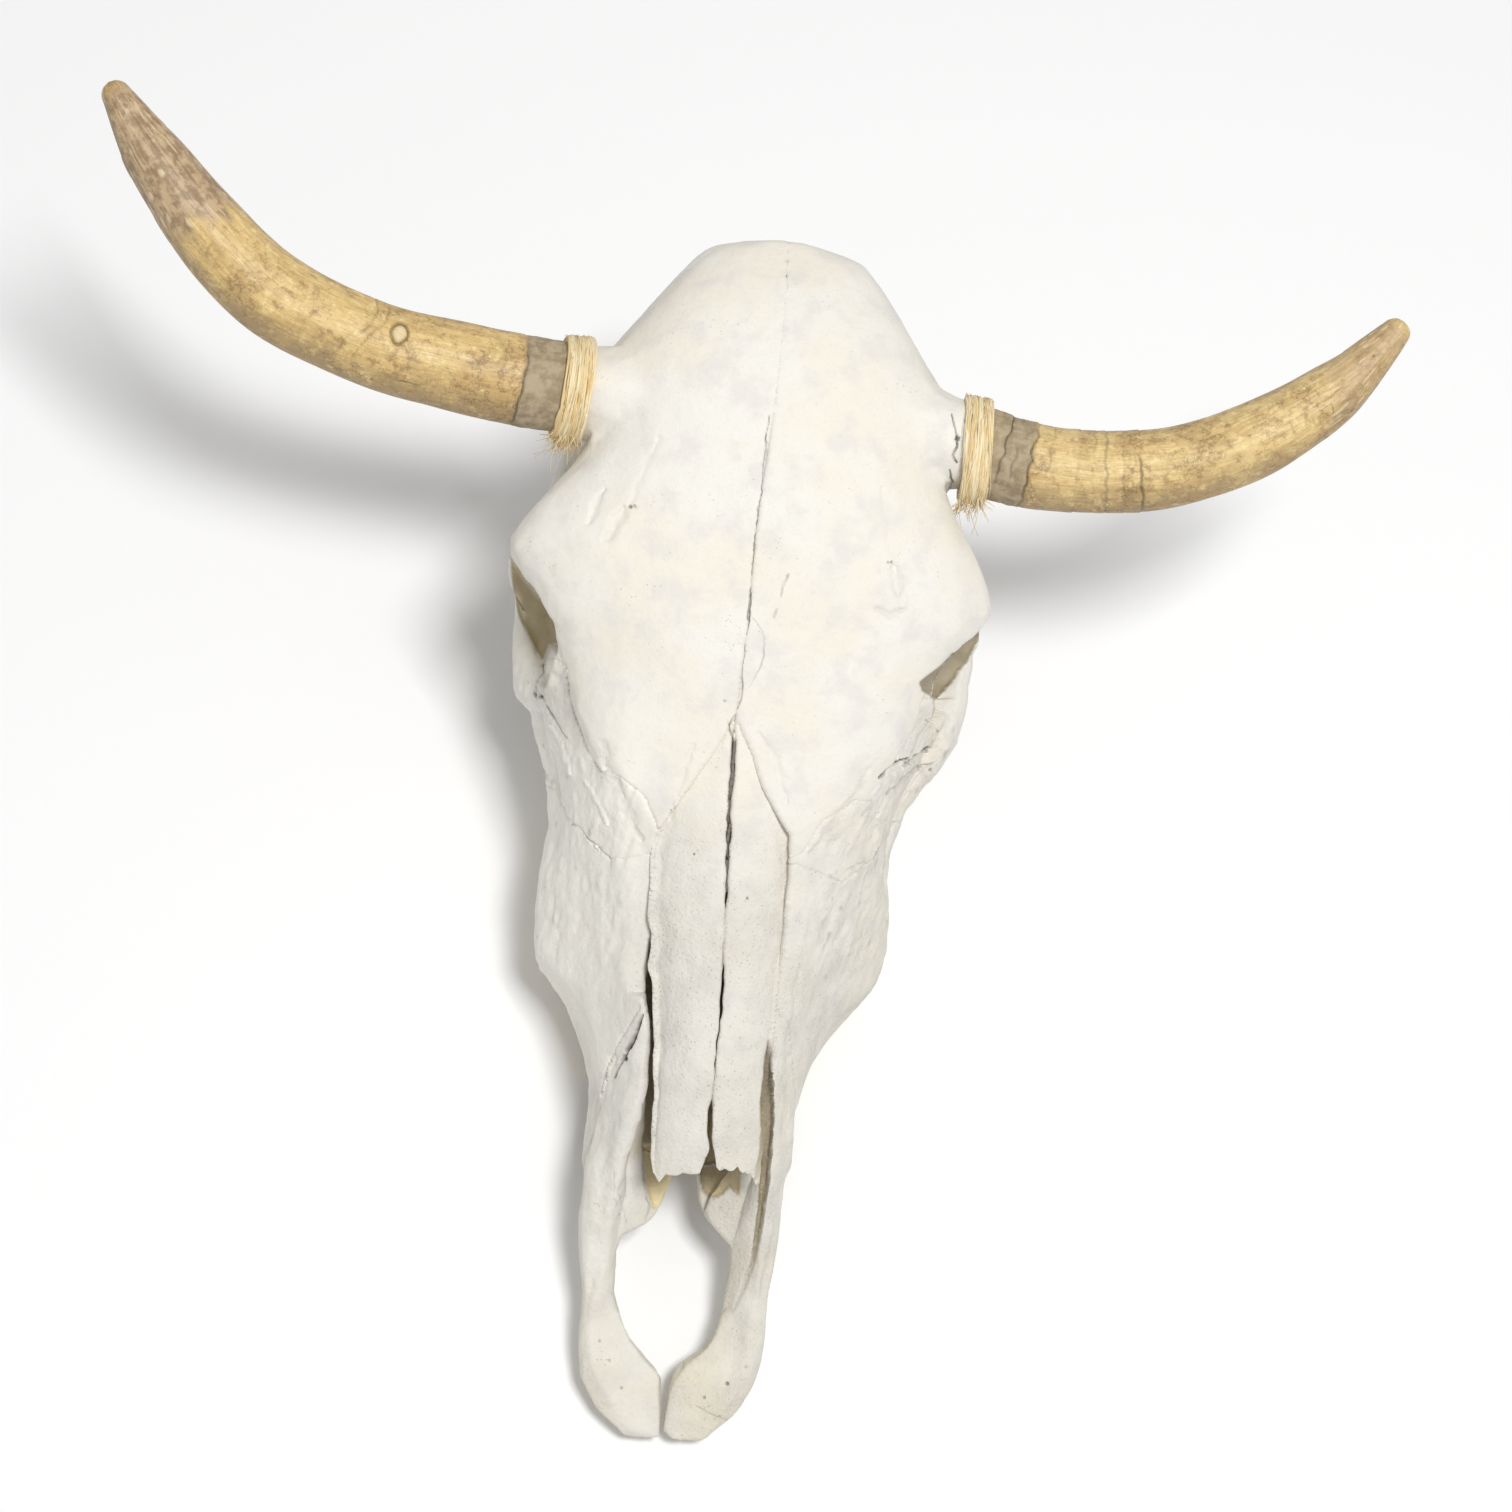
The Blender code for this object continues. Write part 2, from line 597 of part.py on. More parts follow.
SIDE_NAMES = {-1: "right", 1: "left"}
HORN_LINES = {
    -1: ((71.6, -85.0, 3), (70.8, -105, 5), (68.2, -135, 10), (63.8, -167, 16), (51, -205, 25),
         (29, -234, 34), (3.5, -257, 42), (-15, -271.5, 47), (-22, -277, 49)),
    1: ((78.2, 88.2, 3), (80.6, 100, 4), (82.6, 119, 7), (81.6, 142.6, 12), (76.4, 170, 18), (62.4, 199, 26),
        (41.5, 226, 34), (18.4, 245, 41), (10, 250.5, 43)),
}
HORN_DIAMETERS = {-1: (37.0, 37.3, 35.6, 34.2, 34.4, 31.6, 24.0, 16.0, 4.5),
                  1: (37.0, 36.2, 34.8, 33.6, 33.0, 31.0, 25.4, 15.0, 4.5)}
HORN_ROOTS = {-1: ((74, -50, -1), (72.4, -71, 1), (71.7, -81.8, 2.7)),
              1: ((74, 50, -1), (75.5, 71, 1), (77.2, 84.4, 2.6))}


def horn(side, group):
    """The curved sheath. Its open end butts on the bone core under the binding."""
    path = [face(*p) for p in HORN_LINES[side]]
    radii = [(d / 2, d / 2) for d in HORN_DIAMETERS[side]]
    return tube("horn_" + SIDE_NAMES[side], path, radii, group, sides=14, steps=2, up_hint=FACE_UP)


def binding(side, group):
    """Fibre wound round the joint of horn and core: a flat ring that narrows towards the horn."""
    joint = (face(*HORN_ROOTS[side][2]) + face(*HORN_LINES[side][0])) / 2
    axis = (face(*HORN_LINES[side][1]) - face(*HORN_ROOTS[side][1])).normalized()
    across = FACE_UP.cross(axis).normalized()
    up = axis.cross(across).normalized()
    turns = 22
    rings = []
    for i in range(turns):
        angle = 2 * math.pi * i / turns
        radial = across * math.cos(angle) + up * math.sin(angle)
        centre = joint + radial * (BINDING_RADIUS * MM)
        slope = (axis - radial * 0.12).normalized()
        rings.append(ellipse_ring(centre, radial, slope, BINDING_THICKNESS / 2, BINDING_WIDTH / 2, 6, 0.7))
    return loft("binding_" + SIDE_NAMES[side], rings, group, closed=True)


# ---- dividing the bone along its sutures ----
FRONTAL_SUTURE = ((184, 73), (199, 69), (217, 62), (227, 55), (228, 48), (237, 36), (251, 30))


def frontal_region(group):
    half = [(-60, 0), (-60, 140), (148, 140), (166, 112), (181, 86), *FRONTAL_SUTURE, (258, 20), (258, 0)]
    outline = half + [(s, -t) for s, t in reversed(half[1:-1])]
    return prism("frontal_region", outline, -30, 90, group)


def lacrimal_region(side, group):
    outline = [(176, 40), (184, 84), (205, 83), (238, 76), (262, 48), (256, 24), (236, 24), (206, 36)]
    return prism("lacrimal_region", [(s, side * t) for s, t in outline], -36, 90, group)


def zygomatic_region(side, group):
    outline = [(124, 64), (124, 140), (234, 140), (236, 76), (206, 81), (184, 81), (176, 60)]
    return prism("zygomatic_region", [(s, side * t) for s, t in outline], -70, 90, group)


def facial_region(group):
    half = [(158, 0), (158, 38), (134, 46), (134, 150), (520, 150), (520, 0)]
    outline = half + [(u, -t) for u, t in reversed(half[1:-1])]
    return prism("facial_region", outline, -40, 300, group, place=rest)


def premaxilla_region(group):
    profile = ((306, 90), (306, 29), (345, 2), (404, -32), (560, -60), (560, 90))
    rings = [[face(s, t, h) for s, h in profile] for t in (-90, 90)]
    return loft("premaxilla_region", rings, group)


def midline_blade(path, group):
    """A thin upright wall along the midline's crack."""
    near = [(s, t - GAP / 2) for s, t in path]
    far = [(s, t + GAP / 2) for s, t in reversed(path)]
    return prism("midline_blade", near + far, -220, 90, group)


def islands(obj, group):
    """Take an object apart into its separate closed pieces, and drop crumbs."""
    bm = bmesh.new()
    bm.from_mesh(obj.data)
    left = set(bm.verts)
    pieces = []
    while left:
        seed = left.pop()
        found = {seed}
        queue = [seed]
        while queue:
            for edge in queue.pop().link_edges:
                for vert in edge.verts:
                    if vert not in found:
                        found.add(vert)
                        queue.append(vert)
        left -= found
        part = bm.copy()
        part.verts.ensure_lookup_table()
        keep = {v.index for v in found}
        bmesh.ops.delete(part, geom=[v for v in part.verts if v.index not in keep], context="VERTS")
        if abs(part.calc_volume()) > CRUMB * MM ** 3:
            mesh = bpy.data.meshes.new(obj.name)
            part.to_mesh(mesh)
            piece = bpy.data.objects.new(obj.name, mesh)
            group.objects.link(piece)
            pieces.append(piece)
        part.free()
    bm.free()
    bpy.data.objects.remove(obj, do_unlink=True)
    return pieces


CRUMB = 600.0    # cubic millimetres: smaller splinters left by a cut are dropped


def centre_of(obj):
    total = sum((v.co for v in obj.data.vertices), Vector())
    return total / len(obj.data.vertices)


def inside(region, point):
    found, spot, normal, face_index = region.closest_point_on_mesh(point)
    return found and (spot - point).dot(normal) > 0


def split_by(obj, region, group):
    """Cut along the walls of a region; return what lies inside it and what lies outside."""
    shell = region.copy()
    shell.data = region.data.copy()
    group.objects.link(shell)
    wall = shell.modifiers.new("wall", "SOLIDIFY")
    wall.thickness = GAP * MM
    wall.offset = 0.0
    wall.use_even_offset = True
    settle(shell)
    cut(obj, shell)
    bpy.data.objects.remove(shell, do_unlink=True)
    within = []
    beyond = []
    for piece in islands(obj, group):
        (within if inside(region, centre_of(piece)) else beyond).append(piece)
    return within, beyond


def largest(pieces):
    return max(pieces, key=lambda piece: len(piece.data.vertices))


def name_pair(pieces, name):
    """Name a left and a right piece."""
    for piece in pieces:
        side = 1 if centre_of(piece).x > MIDLINE_X * MM else -1
        piece.name = name + "_" + SIDE_NAMES[side]


def divide(mass, parts, cutters):
    """Part the blended bone into the bones a person would name."""
    frontals, rest_of_skull = split_by(mass, frontal_region(cutters), parts)
    crack = ((-60, 0), (60, -1), (125, -4), (154, -3), (192, -4.5), (206, -3.5), (270, 0))
    blade = midline_blade(crack, cutters)
    cut(frontals[0], blade)
    name_pair(islands(frontals[0], parts), "frontal")
    remainder = largest(rest_of_skull)
    for side in (-1, 1):
        for region, name in ((lacrimal_region, "lacrimal"), (zygomatic_region, "zygomatic")):
            within, beyond = split_by(remainder, region(side, cutters), parts)
            largest(within).name = name + "_" + SIDE_NAMES[side]
            remainder = largest(beyond)
    faces, cases = split_by(remainder, facial_region(cutters), parts)
    largest(cases).name = "braincase"
    face_bone = largest(faces)
    cut(face_bone, midline_blade(((100, 0), (300, 0.2), (600, 0)), cutters))
    maxillae = []
    premaxillae = []
    for half in islands(face_bone, parts):
        within, beyond = split_by(half, premaxilla_region(cutters), parts)
        premaxillae += within
        maxillae += beyond
    name_pair(premaxillae, "premaxilla")
    name_pair(maxillae, "maxilla")


def main():
    clear_scene()
    parts = new_collection("cow_skull")
    cutters = new_collection("cutters")
    mass = bone_mass(parts, cutters)
    for side in (-1, 1):
        cut(mass, nasal_bone(side, cutters, grow=GAP, headroom=25.0))
    below = [(-300, -300), (-300, 300), (600, 300), (600, -300)]
    cut(mass, prism("floor_cutter", below, -60, 0, cutters, place=rest))
    divide(mass, parts, cutters)
    for side in (-1, 1):
        jaw = parts.objects["maxilla_" + SIDE_NAMES[side]]
        for column in tooth_columns(side, parts):
            unite(jaw, column)
        nasal_bone(side, parts)
        horn(side, parts)
        binding(side, parts)
    bone = principled("bone", BONE_WHITE, 0.6)
    sheath = principled("horn", HORN_BROWN, 0.5)
    fibre = principled("fibre", FIBRE_STRAW, 0.85)
    for obj in parts.objects:
        obj.data.materials.clear()
        obj.data.materials.append(sheath if "horn" in obj.name else fibre if "binding" in obj.name else bone)
        obj.data.shade_smooth()
    for cutter in cutters.objects:
        cutter.hide_render = True
        cutter.display_type = "WIRE"


main()
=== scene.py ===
# %% [markdown]
# # Dressing a cow skull
# The solids of the skull are ready: one for each bone, one for each horn and one for each fibre binding.
# They have the right sizes but few faces and no finish. This script makes a detailed piece for each of
# them, gives it a finish, and sets up the floor, the lights and the camera.
# %% Load the solids
import math

import bmesh
import bpy
import numpy as np
from mathutils import Matrix, Vector


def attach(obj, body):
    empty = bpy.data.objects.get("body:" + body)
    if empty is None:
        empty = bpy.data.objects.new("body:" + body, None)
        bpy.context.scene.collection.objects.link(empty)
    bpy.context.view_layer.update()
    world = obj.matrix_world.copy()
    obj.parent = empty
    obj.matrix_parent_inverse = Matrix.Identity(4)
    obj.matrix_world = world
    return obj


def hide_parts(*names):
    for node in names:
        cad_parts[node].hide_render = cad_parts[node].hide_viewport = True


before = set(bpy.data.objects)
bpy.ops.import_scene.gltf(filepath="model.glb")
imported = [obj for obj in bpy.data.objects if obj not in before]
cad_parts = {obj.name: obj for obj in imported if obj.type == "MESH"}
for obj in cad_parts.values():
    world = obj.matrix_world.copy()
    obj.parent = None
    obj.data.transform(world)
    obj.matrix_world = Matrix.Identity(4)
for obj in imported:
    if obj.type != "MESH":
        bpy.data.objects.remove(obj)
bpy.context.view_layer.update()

MM = 0.001

# %% [markdown]
# ## Two ways to say where something is
# A skull lies nose down, so its face slopes against the floor. Cracks and seams are much easier to place on
# the face itself: `s` is the distance from the poll down the face, `t` the distance from the midline towards
# the animal's left, and `h` the height above the straight line from the poll to the snout, all in
# millimetres. `face` turns such a place into metres in the room, and `to_face` turns many points back. What
# lies deep in an eye socket shows at another place than it really is, so `as_seen` says where it shows, and
# `from_seen` goes the other way.
# %% Face coordinates
FACE_SLOPE = math.radians(23.8)
POLL = np.array([13.1, 224.1, 218.0])        # the poll, in millimetres in the room
DOWN_FACE = np.array([0.0, -math.cos(FACE_SLOPE), -math.sin(FACE_SLOPE)])
OFF_FACE = np.array([0.0, -math.sin(FACE_SLOPE), math.cos(FACE_SLOPE)])
TO_LEFT = np.array([1.0, 0.0, 0.0])
SIDES = {"left": 1, "right": -1}
EYE_HEIGHT = 1300.0                          # the viewer is this far above the face
EYE_S, EYE_T = 214.0, 8.4                    # and looks at this place on it
EYE_LEAN = 0.09                              # how far the view slants sideways for each millimetre of height


def face(s, t, h):
    return (POLL + s * DOWN_FACE + t * TO_LEFT + h * OFF_FACE) * MM


def to_face(points):
    away = points / MM - POLL
    return away @ DOWN_FACE, away[:, 0], away @ OFF_FACE


def as_seen(s, t, h):
    """Where a look past the place meets the straight line of the face."""
    nearer = (EYE_HEIGHT - h) / EYE_HEIGHT
    return EYE_S + (s - EYE_S) / nearer, EYE_T + (t + EYE_LEAN * h - EYE_T) / nearer


def from_seen(seen_s, seen_t, h):
    """The place at height h that shows at seen_s and seen_t."""
    nearer = (EYE_HEIGHT - h) / EYE_HEIGHT
    return EYE_S + (seen_s - EYE_S) * nearer, EYE_T + (seen_t - EYE_T) * nearer - EYE_LEAN * h


print("snout tip in the room:", face(500, 0, 0).round(3))

# %% [markdown]
# ## Noise for the sculpting
# Real bone is never quite even. This is value noise: every corner of an invisible lattice gets a number that
# depends only on its place and a seed, and the points between are blended smoothly. Because it is worked
# out with arrays it can wear down half a million points in a second, and because it has a seed it gives the
# same skull every time. `rough` adds a few sizes of it together, and `ramp` is a smooth switch from 0 to 1.
# %% Noise
def lattice(points, size, seed):
    """Smooth noise from -1 to 1 with bumps about `size` millimetres wide."""
    place = points / (size * MM)
    cell = np.floor(place).astype(np.int64)
    f = place - cell
    f = f * f * (3.0 - 2.0 * f)
    total = np.zeros(len(points))
    for corner in range(8):
        step = np.array([corner & 1, corner >> 1 & 1, corner >> 2 & 1])
        x, y, z = (cell + step).T
        # Odd factors, shifts and XORs scramble the corner's place and the seed.
        mix = x * 73856093 ^ y * 19349663 ^ z * 83492791 ^ (seed + 11) * 2654435761
        mix = (mix ^ mix >> 13) * 1274126177 & 0x7FFFFFFF
        mix = mix ^ mix >> 15
        weight = np.prod(np.where(step, f, 1.0 - f), axis=1)
        total += weight * ((mix & 0xFFFF) / 32767.5 - 1.0)
    return total


def rough(points, size, seed, layers=3):
    total = np.zeros(len(points))
    for k in range(layers):
        total += lattice(points, size / 2 ** k, seed + k) / 1.8 ** k
    return total


def ramp(x, low, high):
    """0 at low, 1 at high, and a smooth step between. Low may be the larger one."""
    f = np.clip((x - low) / (high - low), 0.0, 1.0)
    return f * f * (3.0 - 2.0 * f)


sample = lattice(np.random.default_rng(1).random((1000, 3)), 10, 0)
print("noise runs from", sample.min().round(2), "to", sample.max().round(2))

# %% [markdown]
# ## The marks on the face
# Cracks, grooves and nerve holes are what tell one skull from another, so they are kept here as data: lines
# of (s, t) places. A crack has half a width, a depth and a stain, which is how much dirt has settled in it.
# A groove is wide, shallow and clean. The cheeks lie well below the line of the face, so their marks are
# listed by the places where they are seen. All come before any mesh is made, because the mesh gets smaller
# faces along them: a crack 0.5 mm wide would vanish between points that stand a millimetre apart.
# %% Cracks and grooves
CRACKS = [      # line, half width, depth, stain
    (((76, -3.2), (102, -3.6), (124, -3.9), (147, -3.4)), 0.36, 0.8, 0.6),
    (((146, -3.4), (152, -3.1), (159, -2.9), (166, -3.2)), 0.62, 1.4, 0.95),
    (((164, -2.9), (181, -3.6), (192, -3.2), (201, -4.5)), 0.36, 0.8, 0.6),
    (((199, -4.8), (203, -6.6), (208, -4.6)), 0.5, 1.0, 0.7),
    (((158.7, -1.2), (163, 2.6), (169.2, 4.4), (177.8, 3.9), (183, 1.6), (186.8, -0.8)), 0.26, 0.45, 0.3),
    (((139.8, 11.7), (145, 9.6), (149.1, 8.6)), 0.45, 0.5, 0.45),
    (((154, 7.4), (157.8, 7)), 0.5, 0.6, 0.6),
    (((5, 0.0), (12, -0.5), (24.7, -0.4)), 0.3, 0.4, 0.25),
    (((66, 72.2), (69, 73), (72, 74.4), (76, 75.6)), 0.45, 1.2, 0.8),
    (((75, 75.4), (79, 75.8), (82.6, 74.5), (85, 77)), 0.7, 1.4, 1.0),
    (((88, 74.4), (94.2, 77.4), (101, 78)), 0.6, 1.2, 0.7),
    (((324, -28.6), (330, -30), (338, -31.6), (344, -32.6)), 1.1, 2.6, 1.0),
    (((343, -33), (348, -35), (353, -37)), 0.9, 1.6, 0.6),
    (((399, -31), (407, -27), (414, -25)), 0.3, 0.5, 0.15),
    (((392, -33), (402, -32), (411, -28)), 0.4, 0.5, 0.1),
    (((486, 12), (489, 20), (491, 26)), 0.4, 0.5, 0.2),
]
GROOVES = [     # line, half width, depth, stain
    (((120.2, -57.8), (125, -60.5), (133.5, -63.5)), 3.2, 1.3, 0.0),
    (((112.8, -66.5), (119, -69), (127, -71)), 1.8, 0.8, 0.0),
    (((131.4, 53.8), (136, 55.5), (143, 57)), 3.4, 1.4, 0.0),
    (((150, 48), (152, 54), (149, 60)), 2.2, 0.6, 0.12),
    (((90, -47), (105, -52), (119, -56)), 2.2, 0.35, 0.0),
    (((100, 46), (115, 50), (129, 53)), 2.2, 0.35, 0.0),
    (((215, -56), (228, -52), (240, -44), (252, -37)), 2.8, 0.8, 0.1),
    (((214, 52), (228, 47), (240, 39), (252, 33)), 2.8, 0.8, 0.1),
    (((345, -38), (360, -38.5), (378, -38), (397, -36), (417, -35.5), (442, -36)), 5.0, 1.5, 0.0),
    (((300, 34), (330, 33), (356, 36), (380, 38), (410, 38.5), (436, 35)), 3.6, 1.1, 0.0),
    (((213, -21), (228, -24), (244, -27)), 2.0, 0.6, 0.0),
    (((206, 6), (216, 14), (232, 20)), 2.0, 0.6, 0.0),
]
print(len(CRACKS), "cracks and", len(GROOVES), "grooves")

# %% Holes and cheek marks
PITS = [        # place, radius, depth, stain
    (119.0, -55.6, 1.0, 2.2, 0.9), (118.6, -54.2, 0.9, 1.6, 0.6), (129.6, 52.2, 0.9, 1.8, 0.7),
    (130.0, 50.8, 0.7, 1.2, 0.5), (75.6, 75.7, 1.6, 3.2, 1.0),
    (256.5, -14.8, 0.7, 1.2, 0.8), (272.0, 8.0, 0.6, 1.0, 0.7),
    (344.0, -32.7, 1.8, 3.4, 1.0), (475.5, 24.0, 1.0, 1.4, 0.6), (193.0, -9.5, 0.8, 0.6, 0.4),
    (463.0, -31.0, 0.8, 1.0, 0.5), (470.0, -26.0, 0.6, 0.8, 0.5), (481.0, -20.0, 0.7, 0.9, 0.5),
    (468.0, 31.0, 0.7, 0.8, 0.5), (482.0, 15.0, 0.8, 1.0, 0.5), (489.0, 22.0, 0.6, 0.8, 0.4),
]
CHEEK_MARKS = [     # line as seen, half width, depth (below 0 for a ridge), stain
    (((217.5, 60), (215.4, 62.1), (212.4, 65.2), (209.4, 69.7), (208.8, 71)), 0.95, 1.9, 1.0),
    (((219.7, 62), (216.1, 64.6), (210.6, 69.7)), 1.8, 2.2, 0.0),
    (((212, 70), (210.6, 71.5), (207.2, 74.9), (203.4, 78.7), (202.6, 80)), 0.95, 1.9, 1.0),
    (((211.1, 72.6), (208.5, 75.6), (205.4, 78.5)), 1.5, 1.6, 0.0),
    (((224, 63.1), (217.2, 68.8), (212.3, 75), (209.2, 81)), 0.6, 1.0, 0.4),
    (((207.8, 82.9), (212.2, 76.7), (215.4, 71.2), (220.8, 66.1), (227, 62.8), (233.9, 60.6)), 1.2, -0.9, 0.0),
    (((236, 60.8), (240.6, 60.9), (247.2, 61)), 1.1, -0.8, 0.0),
    (((182.7, 80.3), (186.7, 80.2), (190.3, 79.8), (191.4, 77.2)), 0.4, 0.8, 0.35),
    (((191.4, 77.2), (193.4, 80.5), (195.8, 82.7), (199.6, 81.2), (201.8, 79.4)), 0.4, 0.8, 0.35),
    (((239.8, 56.6), (236.2, 58.3), (231.4, 60.7)), 0.4, 0.7, 0.3),
    (((261.9, 48.5), (255.6, 52.8), (253.1, 56.8)), 0.5, 0.6, 0.15),
    (((209.4, 69.6), (209.8, 69.8)), 1.0, 2.0, 1.0),
    (((203.4, 78.6), (203.8, 78.8)), 1.3, 2.4, 1.0),
    (((212.3, 80.8), (212.7, 81)), 1.1, 1.4, 0.7),
    (((185.8, -83.5), (190.3, -82.5), (192.7, -84.9), (196.8, -84.3), (198, -81.8)), 0.45, 0.9, 0.3),
    (((198.9, -84.8), (198.8, -82.2)), 1.6, 2.4, 0.9),
    (((198, -81.8), (205.5, -77.3), (212.8, -71.4), (214.9, -69.6)), 0.55, 1.0, 0.4),
    (((210.6, -76.7), (222.3, -69.2), (229.5, -66.4)), 1.3, -0.9, 0.0),
    (((231.2, -60.6), (239.4, -55.1), (249.1, -49.9)), 1.3, -0.8, 0.0),
    (((250.6, -64.1), (250.8, -60.9), (256.2, -56.1), (260.1, -52.9)), 0.45, 0.8, 0.25),
]
MARKS = [line for line, *rest in CRACKS + GROOVES] + [((s, t), (s + 0.5, t)) for s, t, *rest in PITS]
SEEN_MARKS = [line for line, *rest in CHEEK_MARKS]
print(len(PITS), "pits and", len(CHEEK_MARKS), "cheek marks")


# %% Near a mark
def distance_to(s, t, line):
    """How far each place is from a line, and how far along the line it lies, from 0 to 1."""
    line = np.array(line, dtype=float)
    steps = np.diff(line, axis=0)
    lengths = np.hypot(steps[:, 0], steps[:, 1])
    starts = np.concatenate(([0.0], np.cumsum(lengths)))
    nearest = np.full(len(s), np.inf)
    along = np.zeros(len(s))
    for (s0, t0), (ds, dt), length, start in zip(line, steps, lengths, starts):
        f = np.clip(((s - s0) * ds + (t - t0) * dt) / length ** 2, 0.0, 1.0)
        gap = np.hypot(s - s0 - f * ds, t - t0 - f * dt)
        closer = gap < nearest
        nearest[closer] = gap[closer]
        along[closer] = (start + f[closer] * length) / starts[-1]
    return nearest, along


def beside(s, t, line, reach):
    """Which places lie in a box round a line."""
    low = np.min(line, axis=0) - reach
    high = np.max(line, axis=0) + reach
    return (s > low[0]) & (s < high[0]) & (t > low[1]) & (t < high[1])


gap, along = distance_to(np.array([100.0]), np.array([0.0]), CRACKS[0][0])
print("from (100, 0) to the first crack:", gap[0].round(2), "mm, at", along[0].round(2), "of its length")

# %% [markdown]
# ## From a coarse solid to fine bone
# A solid has a few hundred flat faces. Subdivision Surface rounds them, but it would also round the thin
# edges where two bones meet, so those sharp edges are creased first. The rounded skin then gets an even grid
# of small faces from a voxel Remesh, and a Shrinkwrap lays that grid back on the rounded skin, because a
# remesh alone blunts every edge. Along the marks the grid is cut three times finer. Rounding also pulls
# the skin in from the solid's corners, so the cage is pushed out by most of what it falls short, twice.
# %% Rounding a solid
SHARP = math.radians(36)
WELD = 0.01 * MM
PUSHES = 2
PUSH = 0.7          # the share of the shortfall that each push makes up


def new_object(name, mesh):
    obj = bpy.data.objects.new(name, mesh)
    bpy.context.scene.collection.objects.link(obj)
    return obj


def applied(obj):
    """Give an object the mesh that its modifiers make."""
    graph = bpy.context.evaluated_depsgraph_get()
    mesh = bpy.data.meshes.new_from_object(obj.evaluated_get(graph))
    obj.modifiers.clear()
    obj.data = mesh
    return obj


def coordinates(mesh):
    flat = np.empty(len(mesh.vertices) * 3)
    mesh.vertices.foreach_get("co", flat)
    return flat.reshape(-1, 3)


def normals_of(mesh):
    flat = np.empty(len(mesh.vertices) * 3)
    mesh.vertex_normals.foreach_get("vector", flat)
    return flat.reshape(-1, 3)


def rounded_copy(node, name):
    """A copy of a solid with its facets rounded off and its sharp edges kept."""
    bm = bmesh.new()
    bm.from_mesh(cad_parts[node].data)
    bmesh.ops.remove_doubles(bm, verts=bm.verts, dist=WELD)
    crease = bm.edges.layers.float.new("crease_edge")
    for edge in bm.edges:
        if edge.calc_face_angle(0.0) > SHARP:
            edge[crease] = 1.0
    mesh = bpy.data.meshes.new(name)
    bm.to_mesh(mesh)
    bm.free()
    corners = coordinates(mesh)
    cage = corners.copy()
    for attempt in range(PUSHES + 1):
        obj = new_object(name, mesh.copy())
        obj.data.vertices.foreach_set("co", cage.ravel())
        obj.modifiers.new("round", "SUBSURF").levels = 2
        applied(obj)
        if attempt == PUSHES:
            return obj
        cage += PUSH * (corners - coordinates(obj.data)[:len(corners)])
        bpy.data.objects.remove(obj)


test = rounded_copy("lacrimal_left", "test")
print("a rounded lacrimal bone:", len(test.data.vertices), "points")
bpy.data.objects.remove(test)

# %% Fine meshes
MARK_REACH = 1.7      # faces this near a mark are cut smaller
MARK_CUTS = 2


def refine(mesh):
    """Cut the faces near the marks into smaller ones."""
    s, t, h = to_face(coordinates(mesh))
    upper = normals_of(mesh) @ OFF_FACE > 0.15
    close = np.zeros(len(s), dtype=bool)
    for (s, t), marks in (((s, t), MARKS), (as_seen(s, t, h), SEEN_MARKS)):
        for line in marks:
            found = np.flatnonzero(upper & beside(s, t, line, MARK_REACH))
            close[found[distance_to(s[found], t[found], line)[0] < MARK_REACH]] = True
    if not close.any():
        return
    bm = bmesh.new()
    bm.from_mesh(mesh)
    edges = [e for e in bm.edges if close[e.verts[0].index] and close[e.verts[1].index]]
    bmesh.ops.subdivide_edges(bm, edges=edges, cuts=MARK_CUTS, use_grid_fill=True)
    bm.to_mesh(mesh)
    bm.free()


def fine_bone(node, grid):
    """An object with a fine, even mesh on the rounded skin of a solid."""
    guide = rounded_copy(node, node + "_guide")
    obj = new_object(node + "_bone", guide.data.copy())
    remesh = obj.modifiers.new("grid", "REMESH")
    remesh.mode = "VOXEL"
    remesh.voxel_size = grid * MM
    obj.modifiers.new("wrap", "SHRINKWRAP").target = guide
    soften = obj.modifiers.new("soften", "SMOOTH")
    soften.factor = 0.5
    soften.iterations = 2
    applied(obj)
    bpy.data.objects.remove(guide)
    refine(obj.data)
    return obj


test = fine_bone("lacrimal_left", 2.0)
print("the same bone on a grid of 2 mm:", len(test.data.vertices), "points")
bpy.data.objects.remove(test)

# %% [markdown]
# ## A skin to sculpt on
# Moving points one by one in Python is slow, so a `Skin` holds a whole mesh as arrays: the places of its
# points, their directions, and how far each one will be lifted. It also holds masks from 0 to 1, such as
# `dark` for dirt and for painted shade, which the finish reads later through attributes of the same names.
# Carving and staining in one step keeps the dirt exactly where the groove is.
# %% Storing and dressing
HARD_EDGE = math.radians(60)


def store(mesh, name, values):
    """Keep a number or a vector for every point, where the finish can read it."""
    kind, field = ("FLOAT_VECTOR", "vector") if values.ndim == 2 else ("FLOAT", "value")
    mesh.attributes.new(name, kind, "POINT").data.foreach_set(field, values.ravel())


def dress(obj, node, slot, material):
    """Give a piece its finish, and let it stand for its solid."""
    obj.data.shade_smooth()
    obj.data.materials.clear()
    obj.data.materials.append(material)
    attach(obj, "root")
    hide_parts(node)


print("edges above", round(math.degrees(HARD_EDGE)), "degrees stay hard")


